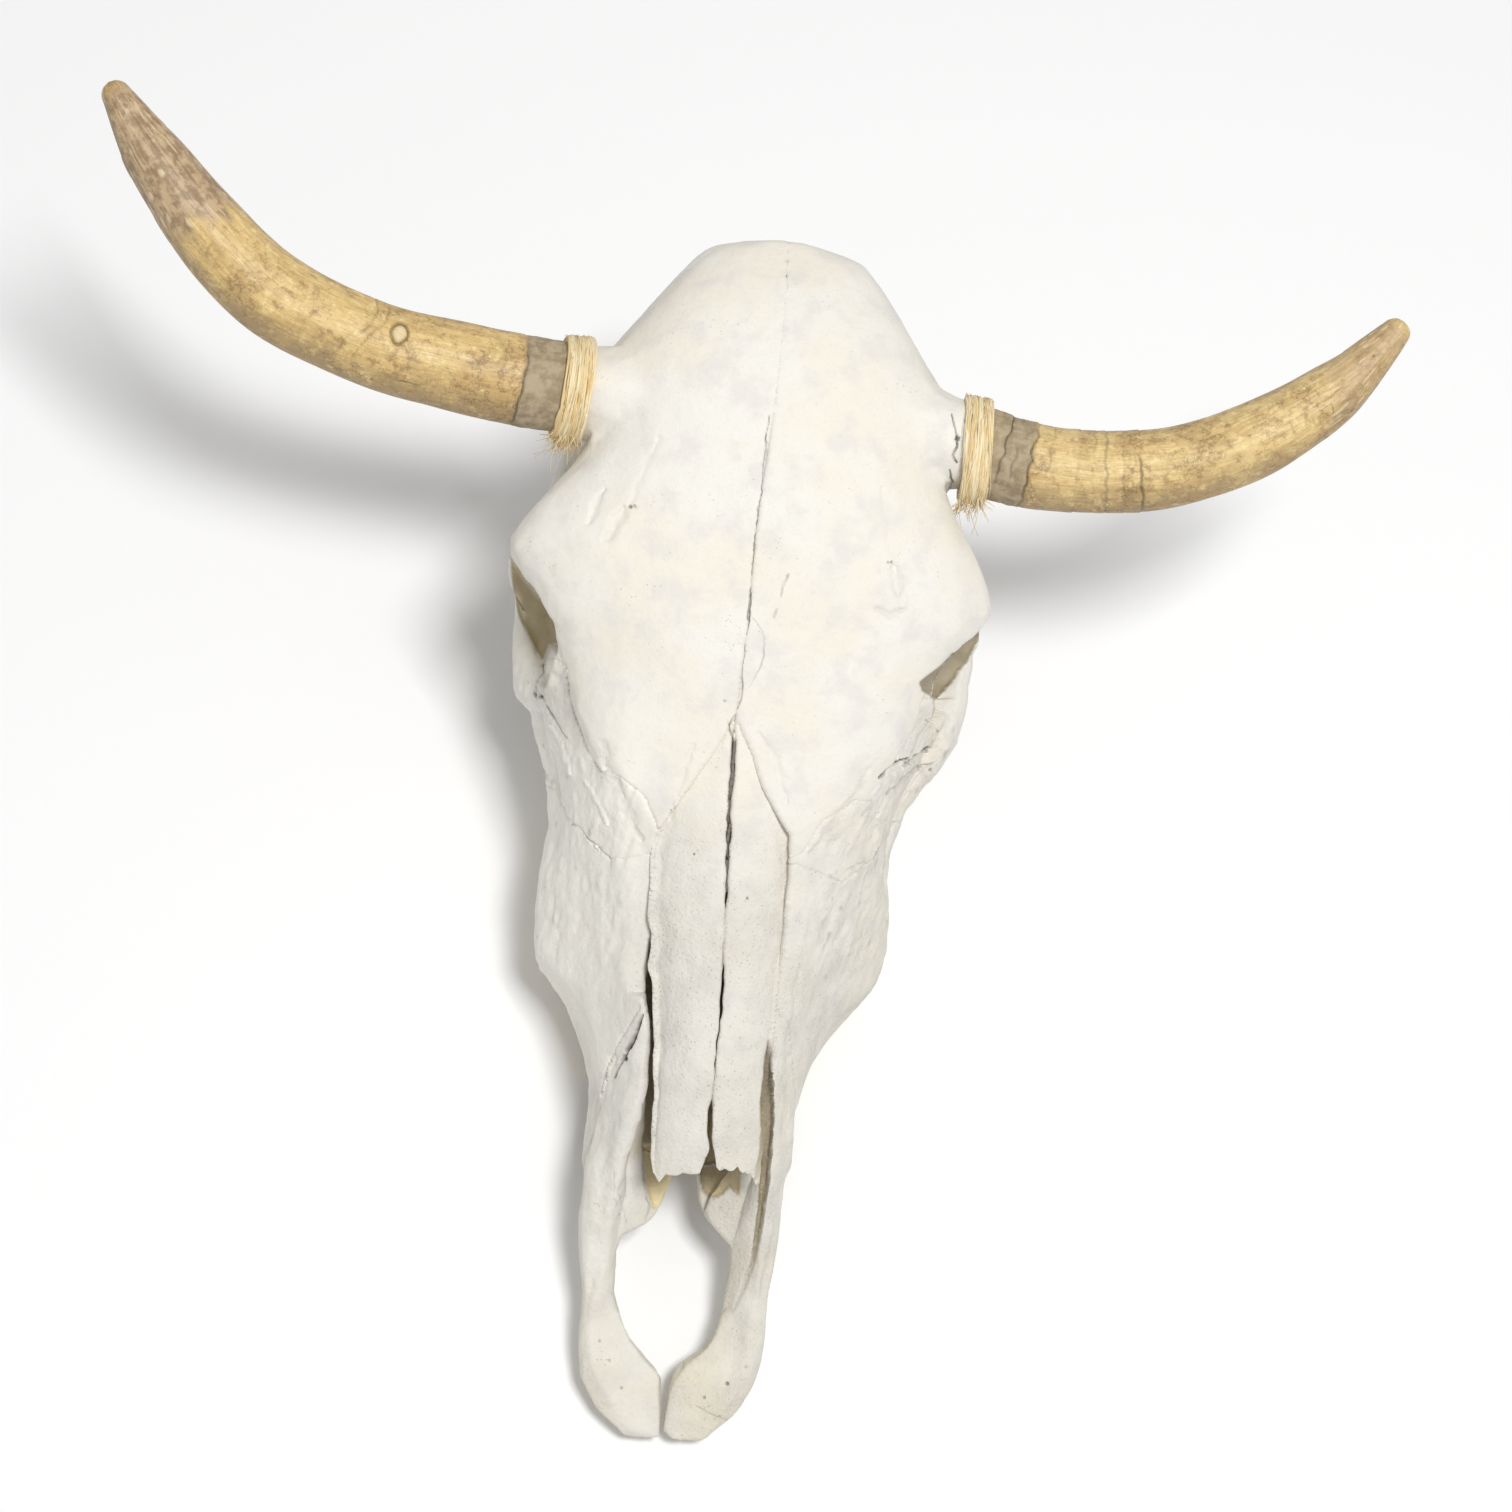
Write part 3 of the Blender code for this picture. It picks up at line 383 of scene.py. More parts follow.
# %% The Skin class
class Skin:
    def __init__(self, obj, node, masks):
        self.obj = obj
        self.node = node
        self.kind = node.split("_")[0]
        self.points = coordinates(obj.data)
        self.normals = normals_of(obj.data)
        self.facing = self.normals @ OFF_FACE
        self.lift = np.zeros(len(self.points))
        self.masks = {name: np.zeros(len(self.points)) for name in masks}
        self.locate()

    def locate(self):
        """Work out where the points are on the face, and where they are seen."""
        self.s, self.t, self.h = to_face(self.points)
        self.seen_s, self.seen_t = as_seen(self.s, self.t, self.h)

    def move(self, down=0.0, over=0.0, off=0.0, found=slice(None)):
        """Move points some millimetres down the face, over to the left and off the face."""
        for amount, way in ((down, DOWN_FACE), (over, TO_LEFT), (off, OFF_FACE)):
            self.points[found] += np.multiply.outer(amount, way) * MM

    def mark(self, mask, amount, found=slice(None)):
        self.masks[mask][found] = np.maximum(self.masks[mask][found], amount)

    def within(self, s, t, line, reach):
        """The points on the upper side in a box round a line."""
        return np.flatnonzero(beside(s, t, line, reach) & (self.facing > 0.05))

    def crack(self, line, half_width, depth, stain, wander=0.55, seen=False):
        """Carve a wavering line that thins out at both ends."""
        s, t = (self.seen_s, self.seen_t) if seen else (self.s, self.t)
        found = self.within(s, t, line, half_width * 2 + 3)
        points = self.points[found]
        s = s[found] + wander * lattice(points, 6, 31)
        t = t[found] + wander * (lattice(points, 4.5, 32) + 0.5 * lattice(points, 1.7, 33))
        gap, along = distance_to(s, t, line)
        width = half_width * (0.35 + 0.65 * np.sin(np.pi * np.clip(along, 0.04, 0.96)) ** 0.5)
        width *= 1.0 + 0.3 * lattice(points, 3.5, 34)
        side = ramp(self.facing[found], 0.05, 0.35)
        self.lift[found] -= depth * ramp(gap, width * 1.25, 0.0) * side
        stain = stain * np.clip(0.72 + 0.55 * lattice(points, 4.2, 35), 0.1, 1.0)
        self.mark("dark", stain * ramp(gap, width * 1.3 + 0.1, width * 0.2) * side, found)

    def pit(self, s, t, radius, depth, stain):
        self.crack(((s, t), (s + 0.4, t + 0.2)), radius, depth, stain, wander=0.3)

    def finish(self, slot, material):
        """Lift the points, store the masks on the mesh and dress the piece."""
        self.points += self.normals * (self.lift * MM)[:, None]
        mesh = self.obj.data
        mesh.vertices.foreach_set("co", self.points.ravel())
        for name, amount in self.masks.items():
            store(mesh, name, np.clip(amount, 0.0, 1.0))
        dress(self.obj, self.node, slot, material)
        mesh.set_sharp_from_angle(angle=HARD_EDGE)
        mesh.update()


print("a skin can", [name for name in vars(Skin) if name[0] != "_"])

# %% Every bone as a fine mesh
GRIDS = {"braincase": 1.5, "frontal": 1.05, "nasal": 0.8, "premaxilla": 0.9, "lacrimal": 0.9, "zygomatic": 1.0,
         "maxilla": 1.1}
BONE_MASKS = ("dark", "tan", "yellow", "worn", "painted_light", "tooth")
bones = {}
for kind, grid in GRIDS.items():
    for node in ["braincase"] if kind == "braincase" else [kind + "_" + side for side in SIDES]:
        bones[node] = Skin(fine_bone(node, grid), node, BONE_MASKS)
print("fine points:", {name: len(bone.points) for name, bone in bones.items()})
print("in all:", sum(len(bone.points) for bone in bones.values()))

# %% [markdown]
# ## The closed seam
# In a grown animal the two frontal bones have grown together near the poll, so no seam shows there, and
# further down it opens into a crack. The two pieces stay apart as objects. Their edges are brought together:
# near the seam every point takes the height that the forehead has a little further out, and the walls meet.
# %% Join the frontals at the top
SEAM = ((-60, 0), (60, -1), (125, -4), (154, -3), (192, -4.5), (206, -3.5), (270, 0))
SEAM_START, SEAM_END = 0, 72
SEAM_FADE = 6             # the closing fades out over this many millimetres at both ends


def profile(x, line):
    """Read a value off a line of (place, value) pairs."""
    return np.interp(x, *zip(*line))


def forehead_line(pair, start, end):
    """How high the forehead lies a little beside the seam, as (place, height) pairs."""
    flat = []
    for bone in pair:
        off = np.abs(bone.t - profile(bone.s, SEAM))
        beside_seam = (off > 1.5) & (off < 4.0) & (bone.facing > 0.6)
        flat.append(np.stack([bone.s, bone.h])[:, beside_seam])
    s, h = np.hstack(flat)
    near = [(middle, np.abs(s - middle) < 2.0) for middle in np.arange(start, end, 2.0)]
    return [(middle, h[found].mean()) for middle, found in near if found.any()]


def close_seam(pair, start, end):
    line = forehead_line(pair, start - SEAM_FADE, end + SEAM_FADE + 1)
    for bone in pair:
        level = profile(bone.s, line)
        seam = profile(bone.s, SEAM)
        off = np.abs(bone.t - seam)
        amount = ramp(bone.s, start - SEAM_FADE, start) * ramp(bone.s, end + SEAM_FADE, end)
        top = (off < 1.5) & (bone.h > level - 1.1)
        bone.move(over=(seam - bone.t) * amount * (off < 0.75), off=(level - bone.h) * amount * top)
    return len(line)


frontals = bones["frontal_left"], bones["frontal_right"]
print("seam closed over", close_seam(frontals, SEAM_START, SEAM_END), "steps")

# %% [markdown]
# ## This skull's own outline
# No skull is the same on both sides. The solids keep the sides of the face simple, so their outline is
# moved a few millimetres here: out behind the left eye socket, in behind the corner of the right cheek, and
# in along the slim arms of the muzzle. Only the outermost points move, more the nearer they are to the edge.
# %% Shift the outlines
WIDEST = ((150, 98), (182, 97.6), (190, 97), (198, 95.4), (206, 93.4), (214, 91), (230, 85), (245, 79), (300, 73.7),
          (330, 61.7), (347, 53.9), (360, 49.5), (380, 45.5), (400, 43), (450, 41.5), (470, 40), (480, 37.5),
          (490, 32.5), (500, 28))
SHIFTS = {
    "left": ((142, 0), (150, 3.5), (157, 5.5), (166, 5), (175, 3), (190, 3.5), (200, 3), (208, 1), (214, 0),
             (222, -4), (230, -5.3), (240, -4), (255, -1), (270, 0), (312, 0), (327, -2), (345, -4.3),
             (370, -4), (400, -2.5), (455, -2.5), (470, -3.4), (487, -4.6), (500, -5)),
    "right": ((152, 0), (166, -2.6), (185, -3.4), (196, -3.2), (200, -4), (205, -9), (230, -9), (245, -5),
              (262, -1.5), (275, -1), (292, -2.6), (304, -1.5), (315, 0), (330, -4.3), (347, -5.6),
              (362, -5.4), (375, -3), (390, 0), (412, -0.8), (445, -3.4), (465, -2), (478, -1), (488, -2.2),
              (500, -2.8)),
}
for bone in bones.values():
    for side, sign in SIDES.items():
        width = profile(bone.s, WIDEST)
        deep_or_muzzle = np.maximum(ramp(bone.h, -6, -14), ramp(bone.s, 380, 395))
        edge = ramp(bone.t * sign, width - 16, width - 3) * deep_or_muzzle
        bone.move(over=profile(bone.s, SHIFTS[side]) * edge * sign)
    bone.locate()
print("widest cheek point:", round(bones["zygomatic_left"].t.max(), 1), "mm from the midline")

# %% [markdown]
# ## Worn teeth
# The cheek teeth are rows of upright columns, two to a molar. Chewing wears them flat, and the hard enamel is
# left standing in rings while the softer middle wears hollow. The rings are worked out from the distance to
# the middle of each column, and only on the side that rests on the floor.
# %% Teeth
CHEEK_TEETH = (15, 16, 18, 23, 27, 30)        # how long each is, from the front
TOOTH_ROW_FRONT = 302.0
TOOTH_OUTER_LINE = ((170, 62), (240, 59), (302, 49))
TOOTH_WIDTH = ((170, 22), (240, 20), (302, 15))
ENAMEL_RINGS = (0.88, 0.42)                   # as shares of a column's size


def columns():
    """Where each column stands, how far it is from the midline, and its length and width."""
    front = TOOTH_ROW_FRONT
    for length in CHEEK_TEETH:
        lobes = 2 if length > 20 else 1
        for lobe in range(lobes):
            u = front - length * (lobe + 0.5) / lobes
            width = profile(u, TOOTH_WIDTH)
            yield u, profile(u, TOOTH_OUTER_LINE) - width / 2, length / lobes, width
        front -= length


for side, sign in SIDES.items():
    jaw = bones["maxilla_" + side]
    ahead = POLL[1] - jaw.points[:, 1] / MM
    across = (jaw.points[:, 0] / MM - POLL[0]) * sign
    height = jaw.points[:, 2] / MM
    crown = ramp(height, 27, 22) * (ahead > 165) * (ahead < 305) * (across > 22)
    jaw.mark("tooth", crown)
    chewing = ramp(-jaw.normals[:, 2], 0.5, 0.9) * (height < 3)
    for u, middle, length, width in columns():
        ring = np.hypot((ahead - u) / (length * 0.56), (across - middle) / (width * 0.5))
        hollow = (ring < 1.05) * chewing
        for enamel, fade in zip(ENAMEL_RINGS, (0.2, 0.16)):
            hollow = hollow * ramp(np.abs(ring - enamel), 0.05, fade)
        jaw.lift -= hollow * 0.8
        jaw.mark("dark", hollow * 0.6)
    gaps = ramp(jaw.normals[:, 1] ** 2, 0.3, 0.7) * crown * ramp(height, 2, 6)
    jaw.mark("dark", gaps * 0.45)
print("columns on each side:", len(list(columns())))

# %% [markdown]
# ## Sculpting the bone
# First the whole skull gets low, broad lumps, so that light never slides over it like over plastic. The
# nasal bones bulge, and the bone in front of the eyes is rough, wrinkled and pitted. Noise that is read at
# places squeezed down the face is drawn out into wrinkles and fibres. Then the marks are carved.
# %% Broad unevenness and rough places
NOSE_CRACK = ((200, -4), (234, -3.5), (275, -0.5), (317, 2), (358, 2.6), (400, 0))
ROUGH_BONES = ("lacrimal", "zygomatic", "maxilla")


def across_nose(bone):
    """How far each point is to the left of the crack between the nasal bones."""
    return bone.t - profile(bone.s, NOSE_CRACK)


def drawn_out(bone, slant, squeeze, flatten=1.0):
    """Places squeezed down the face, so that noise read there is drawn out."""
    return np.stack([bone.t + slant * bone.s, bone.s * squeeze, bone.h * flatten], axis=1) * MM


def make_uneven(bone, quiet):
    """Lumps and fibres all over, bulging nasals, and side walls that are pushed out to close the seams."""
    off = np.abs(across_nose(bone))
    bone.lift += 0.62 if bone.kind in ROUGH_BONES else 0.45
    bone.lift += (0.30 * rough(bone.points, 26, 3) + 0.13 * rough(bone.points, 5, 8)) * quiet
    bone.lift += 0.16 * rough(drawn_out(bone, 0.1, 0.1), 4.0, 19, 2) * ramp(bone.s, 200, 280) * quiet
    if bone.kind == "nasal":
        bulge = (np.clip(off - 9, 0, 18) / 18) ** 2 * ramp(bone.s, 215, 270)
        bone.lift -= 2.8 * bulge * ramp(bone.facing, 0.3, 0.7)
        # Painted shade: the nasal bones are greyed to stand for the shade on their sloping sides.
        bone.mark("worn", 0.85 * ramp(bone.s, 225, 265) * (0.8 + 0.3 * rough(bone.points, 14, 44)))
    wall = ramp(bone.facing, 0.8, 0.35) * ramp(bone.facing, -0.5, 0.0) * ramp(bone.s, 150, 180)
    bone.lift += 0.35 * wall * (off > 6)


def roughen_cheeks(bone, quiet):
    """Wrinkles, small pits and wear in front of the eyes, and wear further down, which is also painted shade on the
    animal's left side.
    """
    cheek = ramp(bone.s, 176, 196) * ramp(bone.s, 345, 270)
    cheek *= ramp(np.abs(bone.t), 30, 46) * ramp(bone.h, -90, -50) * quiet
    if bone.kind in ("frontal", "nasal"):
        cheek *= 0.15
    # The greying is wear, and also painted shade: it is stronger on the animal's left side, towards +t.
    bone.mark("worn", cheek * (0.1 + 0.25 * ramp(bone.t, -30, 0) + 0.45 * rough(bone.points, 9, 40)))
    lower = (0.5 + 0.5 * ramp(bone.t, -5, 15)) * ramp(bone.s, 215, 330)
    bone.mark("worn", lower * (0.7 + 0.4 * rough(bone.points, 12, 42)))
    coarse = rough(bone.points, 3.6, 14)
    wrinkles = rough(drawn_out(bone, 0.35, 0.22, 0.6), 3.2, 17, 2)
    bone.lift += cheek * (0.30 * coarse + 0.45 * wrinkles - 0.5 * ramp(coarse, 0.75, 1.3))
    bone.mark("dark", 0.35 * cheek * ramp(coarse + wrinkles, 1.0, 1.8))


for bone in bones.values():
    quiet = 1.0 - 0.85 * bone.masks["tooth"]
    make_uneven(bone, quiet)
    roughen_cheeks(bone, quiet)
print("rough share of a lacrimal:", bones["lacrimal_right"].masks["worn"].mean().round(2))

# %% Carve the marks
for bone in bones.values():
    for marks, wander, seen in ((CRACKS, 0.55, False), (GROOVES, 0.9, False), (CHEEK_MARKS, 0.35, True)):
        for mark in marks:
            bone.crack(*mark, wander=wander, seen=seen)
    for place in PITS:
        bone.pit(*place)
print("deepest mark:", round(min(bone.lift.min() for bone in bones.values()), 2), "mm")

# %% [markdown]
# ## Seams, and the broken nose
# The seams between bones waver. The waver moves every bone by the same noise, so two neighbours still fit.
# The nasal bones end in a broken, jagged edge, and the crack between them gapes in three places. Where it
# gapes, its walls and the bone seen beneath it are painted dark: painted shade.
# %% Wavering seams and broken tips
def break_nasal(bone, down, over):
    """Jagged tips, the gaping crack, and the narrow waist of the right nasal bone."""
    column = bone.points * [1, 0, 0]
    tip = ramp(bone.s, 368, 384)
    down += tip * (2.2 * lattice(column, 4.2, 61) + 1.2 * lattice(column, 1.7, 62))
    bone.lift -= 0.7 * tip
    off = across_nose(bone)
    rim = ramp(np.abs(off), 2.8, 1.0)
    gap = ramp(bone.s, 202, 210) * ramp(bone.s, 280, 268) + 0.55 * ramp(bone.s, 297, 303) * ramp(bone.s, 320, 311)
    gap = np.maximum(gap, ramp(bone.s, 352, 360)) * (0.55 + 0.3 * lattice(bone.points, 5, 64))
    over += np.sign(off) * gap * 0.65 * rim
    bone.lift -= 0.38 * gap * rim
    # Painted shade: the walls of the gaping crack are darkened.
    bone.mark("dark", gap * 1.6 * ramp(np.abs(off), 0.8, 0.48) * ramp(bone.h, -45, -35))
    if bone.node == "nasal_right":
        over += 4.6 * ramp(bone.s, 361, 379) * ramp(bone.t, -13, -2)
        pinch = ramp(np.abs(bone.s - 304), 0, 9)
        over += (1.5 * pinch + 0.3) * ramp(bone.s, 282, 292) * ramp(bone.t, -17, -24)


def darken_under_crack(bone):
    # Painted shade: bone seen through the nasal crack is darkened, less further down the face.
    off = bone.seen_t - profile(bone.seen_s, NOSE_CRACK) - 2.3
    under = ramp(bone.seen_s, 207, 210) * ramp(bone.seen_s, 356, 350) * ramp(np.abs(off), 3.5, 2.6)
    bone.mark("dark", under * profile(bone.seen_s, ((270, 0.95), (300, 0.8), (340, 0.6))))


for bone in bones.values():
    outer = ramp(bone.h, -60, -35) * ramp(bone.s, 120, 150) * ramp(bone.s, 420, 395)
    down = outer * (1.0 * lattice(bone.points, 13, 51) + 0.5 * lattice(bone.points, 4.5, 52))
    over = outer * (0.6 * lattice(bone.points, 12, 53) + 0.35 * lattice(bone.points, 4, 54))
    if bone.kind == "nasal":
        break_nasal(bone, down, over)
    else:
        darken_under_crack(bone)
    bone.move(down, over)
print("nasal tips reach s =", [round(bones["nasal_" + side].s.max(), 1) for side in SIDES])

# %% [markdown]
# ## Openings
# Looking down on the face, each eye socket is a wedge with a hard edge, and the nose shows two openings past
# the nasal bones and a long fissure beside them. Everything seen inside such an outline lies a step deeper and
# kept its olive-tan colour, since the whitening never reached it. An outline is a closed line of places as seen.
# In front of each eye socket the tear bone has a lip that bridges the step, so its points are brought up,
# straight towards the viewer, until they lie level.
# %% Outlines of the openings
OPENINGS = [     # outline, step down, how yellow, how much painted shade
    (((140.5, -101.5), (153.6, -91.6), (162.7, -84.2), (170.5, -76.6), (174.6, -75.4), (177.7, -81.6), (185.2, -83.5),
      (177.8, -89), (167.4, -95), (155.5, -98.5)), 2.2, 0.3, 0.0),
    (((150.5, 97), (160.5, 86.4), (169, 79), (176.2, 72.8), (180.3, 74.5), (182.9, 80.6), (176, 86.3), (166.1, 92.3),
      (155.3, 96.2)), 2.2, 0.0, 0.36),
    (((379, -22), (391, -19.6), (398.5, -18.2), (405.7, -15.3), (405.1, -13.3), (401.1, -11.2), (395.9, -9.3),
      (392.8, -7.5), (386, -6), (379, -12)), 1.6, 1.0, 0.0),
    (((358.4, 5.6), (383.5, 4.2), (389.5, 3), (396.8, 5.2), (399.9, 8.7), (398.7, 11.9), (396.8, 14.2), (394.4, 16.5),
      (398.2, 20.2), (396.9, 20.9), (389.4, 21), (379, 21), (377, 12), (370, 8)), 2.4, 0.55, 0.04),
]
LIPS = [         # outline, height
    (((175.5, -74), (177.7, -81.6), (185.4, -83.5), (191, -82.8), (196, -78), (194, -66), (180, -66)), -7.0),
    (((176, 71), (182.7, 80.3), (190.3, 79.8), (193, 76), (191, 64), (181, 66)), -3.0),
]
FISSURE = (      # place as seen, half width
    (331, 26.1, 0.3), (340, 27, 0.9), (350, 27.9, 1.7), (358, 28.3, 2.3), (366, 28.9, 2.4), (376.5, 29.9, 1.8),
    (390, 30.4, 1.5), (406, 30.3, 1.2), (423, 29.5, 0.8), (436, 26.3, 0.8), (446, 23.2, 0.4),
)
FISSURE_DEPTH = ((332, 1), (350, 6), (395, 6), (425, 2.2), (445, 0.5))


def inside(s, t, outline):
    """Which places lie in a closed outline: those with an odd number of its edges to one side."""
    odd = np.zeros(len(s), dtype=bool)
    for (s0, t0), (s1, t1) in zip(outline, outline[1:] + outline[:1]):
        if t0 != t1:
            odd ^= ((t0 > t) != (t1 > t)) & (s < s0 + (t - t0) / (t1 - t0) * (s1 - s0))
    return odd


def seen_inside(bone, outline, wanted):
    """The wanted points that are seen inside an outline, and how far each is from it."""
    found = np.flatnonzero(inside(bone.seen_s, bone.seen_t, outline) & wanted)
    return found, distance_to(bone.seen_s[found], bone.seen_t[found], outline + outline[:1])[0]


print(len(OPENINGS), "openings and", len(LIPS), "lips")

# %% Lips and openings
def raise_lips(bone):
    """Bring the lips up towards the viewer, and say which points are on one."""
    on_lip = np.zeros(len(bone.points))
    for outline, level in LIPS:
        wanted = (bone.facing > 0.0) & (bone.h < level) & (bone.kind in ROUGH_BONES)
        found, gap = seen_inside(bone, outline, wanted)
        amount = ramp(gap, 0.0, 5.0)
        rise = (level - bone.h[found]) * amount
        s, t = from_seen(bone.seen_s[found], bone.seen_t[found], bone.h[found] + rise)
        bone.move(s - bone.s[found], t - bone.t[found], rise, found)
        on_lip[found] = np.minimum(amount * 4, 1)
    return on_lip


def sink_openings(bone):
    """Sink and stain what is seen inside the outlines, below the brow and not on the nasal bones."""
    low = (bone.h < 0) | (bone.s > 163) & (bone.t > 0)
    visible = (bone.facing > -0.15) & low & (bone.h > -75) & (bone.kind != "nasal")
    for outline, step, yellow, dirt_and_shade in OPENINGS:
        found, gap = seen_inside(bone, outline, visible)
        outer = ramp(np.abs(bone.t[found]), 82, 86) * ramp(bone.facing[found], 0.4, 0.0)
        bone.mark("tan", ramp(gap, 0.0, 0.5) * (1 - outer), found)
        # In the nose openings this yellow is partly the bone's own and partly painted light on shaded bone.
        bone.mark("yellow", yellow, found)
        # Painted shade: the last column darkens what is seen inside the outline.
        bone.mark("dark", dirt_and_shade * ramp(gap, 0.0, 0.5), found)
        bone.move(off=-step * ramp(gap, 0.0, 1.2) * ramp(bone.facing[found], 0.0, 0.3), found=found)


def open_fissure(bone):
    """The long gap beside the left nasal bone, which runs on down the muzzle."""
    gap = distance_to(bone.seen_s, bone.seen_t, [(s, t) for s, t, width in FISSURE])[0]
    width = profile(bone.seen_s, [(s, width) for s, t, width in FISSURE])
    width *= 1.0 + 0.18 * lattice(bone.points, 7, 66)
    trough = ramp(gap, width + 0.5, width - 0.5) * ramp(bone.h, -45, -35)
    trough *= (bone.seen_s > 328) & (bone.seen_s < 446)
    bone.move(off=-trough * profile(bone.s, FISSURE_DEPTH))
    bone.mark("tan", trough * ramp(bone.s, 440, 405))
    bone.mark("dark", trough * (0.2 + 0.35 * ramp(bone.s, 362, 350)))


on_lips = {}
for node, bone in bones.items():
    on_lips[node] = raise_lips(bone)
    sink_openings(bone)
    open_fissure(bone)
print("tan points of the left zygomatic:", int(bones["zygomatic_left"].masks["tan"].sum()))

# %% [markdown]
# ## Where the bone is stained
# Deeper in, the eye sockets and the nose are stained all over, and so is the underside, a little. These
# masks come from simple shapes: a ball for each eye socket and a tunnel for the nose. The ends of the
# muzzle are cream, and the right cheek, which faces away from the lamp, gets a paler white: painted light.
# %% Stains
EYE_SOCKET = (166, 74, -22)       # the middle of the left one


def stain_hollows(bone):
    """Olive tan in the eye sockets and up the nose."""
    for sign in SIDES.values():
        s, t, h = EYE_SOCKET
        radius = np.linalg.norm([bone.s - s, bone.t - sign * t, bone.h - h], axis=0)
        hollow = ramp(radius, 34, 26) * ramp(bone.facing, 0.55, 0.25) * ramp(bone.h, 4, -4)
        bone.mark("tan", hollow * np.maximum(ramp(bone.seen_s, 186, 181), ramp(bone.facing, 0.1, -0.2)))
    tunnel = ramp(np.abs(bone.t + 2), 31, 27) * ramp(bone.s, 262, 285)
    tunnel *= ramp(bone.s, 400, 394) if bone.kind == "maxilla" else ramp(bone.s, 390, 380)
    tunnel *= ramp(bone.facing, 0.2, -0.4) if bone.kind == "nasal" else ramp(bone.h, 4, -6)
    bone.mark("tan", tunnel * 0.95)


def stain_outside(bone):
    """A little tan below, cream ends of the muzzle, and painted light on the right cheek."""
    below = ramp(bone.facing, -0.1, -0.7) * 0.35
    bone.mark("tan", below * (0.6 + 0.4 * rough(bone.points, 18, 70)))
    muzzle = (0.24 + 0.1 * ramp(bone.t, -5, 15)) * ramp(bone.s, 405, 445)
    bone.mark("tan", muzzle * (0.6 + 0.8 * rough(bone.points, 22, 72)))
    bone.mark("yellow", 0.75 * ramp(bone.s, 440, 470))
    # Painted light: a paler white on the right cheek, which faces away from the lamp.
    bone.mark("painted_light", ramp(bone.t, -28, -45) * ramp(bone.s, 185, 230) * ramp(bone.s, 400, 340))


for node, bone in bones.items():
    stain_hollows(bone)
    stain_outside(bone)
    bone.masks["tan"] *= (1.0 - bone.masks["tooth"]) * (1.0 - on_lips[node])
print("stained share of the maxilla:", bones["maxilla_left"].masks["tan"].mean().round(2))

# %% [markdown]
# ## Writing a finish
# A finish is a tree of nodes. Drawn by hand it is a tangle, so here it is written like arithmetic: a `Value`
# wraps one socket, and `1 - mask` or `mask * 0.5` adds the Math node that works it out. Colours keep to Mix
# nodes, because a Math node would turn them grey. Everything else comes from one method, `node`.
# %% Value
class Value:
    """A number inside a finish. Arithmetic on it adds Math nodes."""

    def __init__(self, finish, socket):
        self.finish = finish
        self.socket = socket

    def math(self, operation, first, second):
        return self.finish.node("Math", {"operation": operation}, {0: first, 1: second})

    def __add__(self, other):
        return self.math("ADD", self, other)

    def __radd__(self, other):
        return self.math("ADD", other, self)

    def __sub__(self, other):
        return self.math("SUBTRACT", self, other)

    def __rsub__(self, other):
        return self.math("SUBTRACT", other, self)

    def __mul__(self, other):
        return self.math("MULTIPLY", self, other)

    def __rmul__(self, other):
        return self.math("MULTIPLY", other, self)

    def ramp(self, low, high):
        """0 at low, 1 at high, with a smooth step between."""
        return self.finish.node("MapRange", {"interpolation_type": "SMOOTHSTEP"}, {0: self, 1: low, 2: high})


print("reflected operators:", [name for name in vars(Value) if name.startswith("__r")])


# %% Finish
class Finish:
    """A material and a short way to write its nodes."""

    def __init__(self, name):
        self.material = bpy.data.materials.new(name)
        self.material.use_nodes = True
        self.tree = self.material.node_tree
        self.shader = self.tree.nodes["Principled BSDF"]

    def node(self, kind, settings, sockets, output=0):
        """Any node: its settings are set first, then its sockets get a value or a link."""
        made = self.tree.nodes.new("ShaderNode" + kind)
        for name, value in settings.items():
            setattr(made, name, value)
        for key, value in sockets.items():
            self.feed(made.inputs[key], value)
        return Value(self, made.outputs[output])

    def feed(self, socket, value):
        """Link a Value to a socket, or set a plain number or colour on it."""
        if isinstance(value, Value):
            self.tree.links.new(value.socket, socket)
        elif isinstance(value, tuple) and len(value) == 3 and socket.type == "RGBA":
            socket.default_value = (*value, 1.0)
        else:
            socket.default_value = value

    def mask(self, name):
        return self.node("Attribute", {"attribute_name": name}, {}, output="Fac")

    def place(self, name=None):
        """Where a point is: in the room, or by a vector attribute."""
        if name is None:
            return self.node("TexCoord", {}, {}, output="Object")
        return self.node("Attribute", {"attribute_name": name}, {}, output="Vector")

    def noise(self, place, size, detail=4.0, roughness=0.55):
        """Noise with features about `size` millimetres wide."""
        sockets = {"Vector": place, "Scale": 1.0 / (size * MM), "Detail": detail, "Roughness": roughness}
        return self.node("TexNoise", {}, sockets)

    def mix(self, amount, first, second):
        """One colour at 0, the other at 1."""
        return self.node("Mix", {"data_type": "RGBA"}, {0: amount, 6: first, 7: second}, output=2)

    def end(self, colour, roughness, height, distance, strength=1.0):
        """Connect what changes over the surface to the shader."""
        bump = self.node("Bump", {}, {"Height": height, "Distance": distance * MM, "Strength": strength})
        self.feed(self.shader.inputs["Base Color"], colour)
        self.feed(self.shader.inputs["Roughness"], roughness)
        self.feed(self.shader.inputs["Normal"], bump)
        print(self.material.name, "has", len(self.tree.nodes), "nodes")
        return self.material

print("a finish can", [name for name in vars(Finish) if name[0] != "_"])
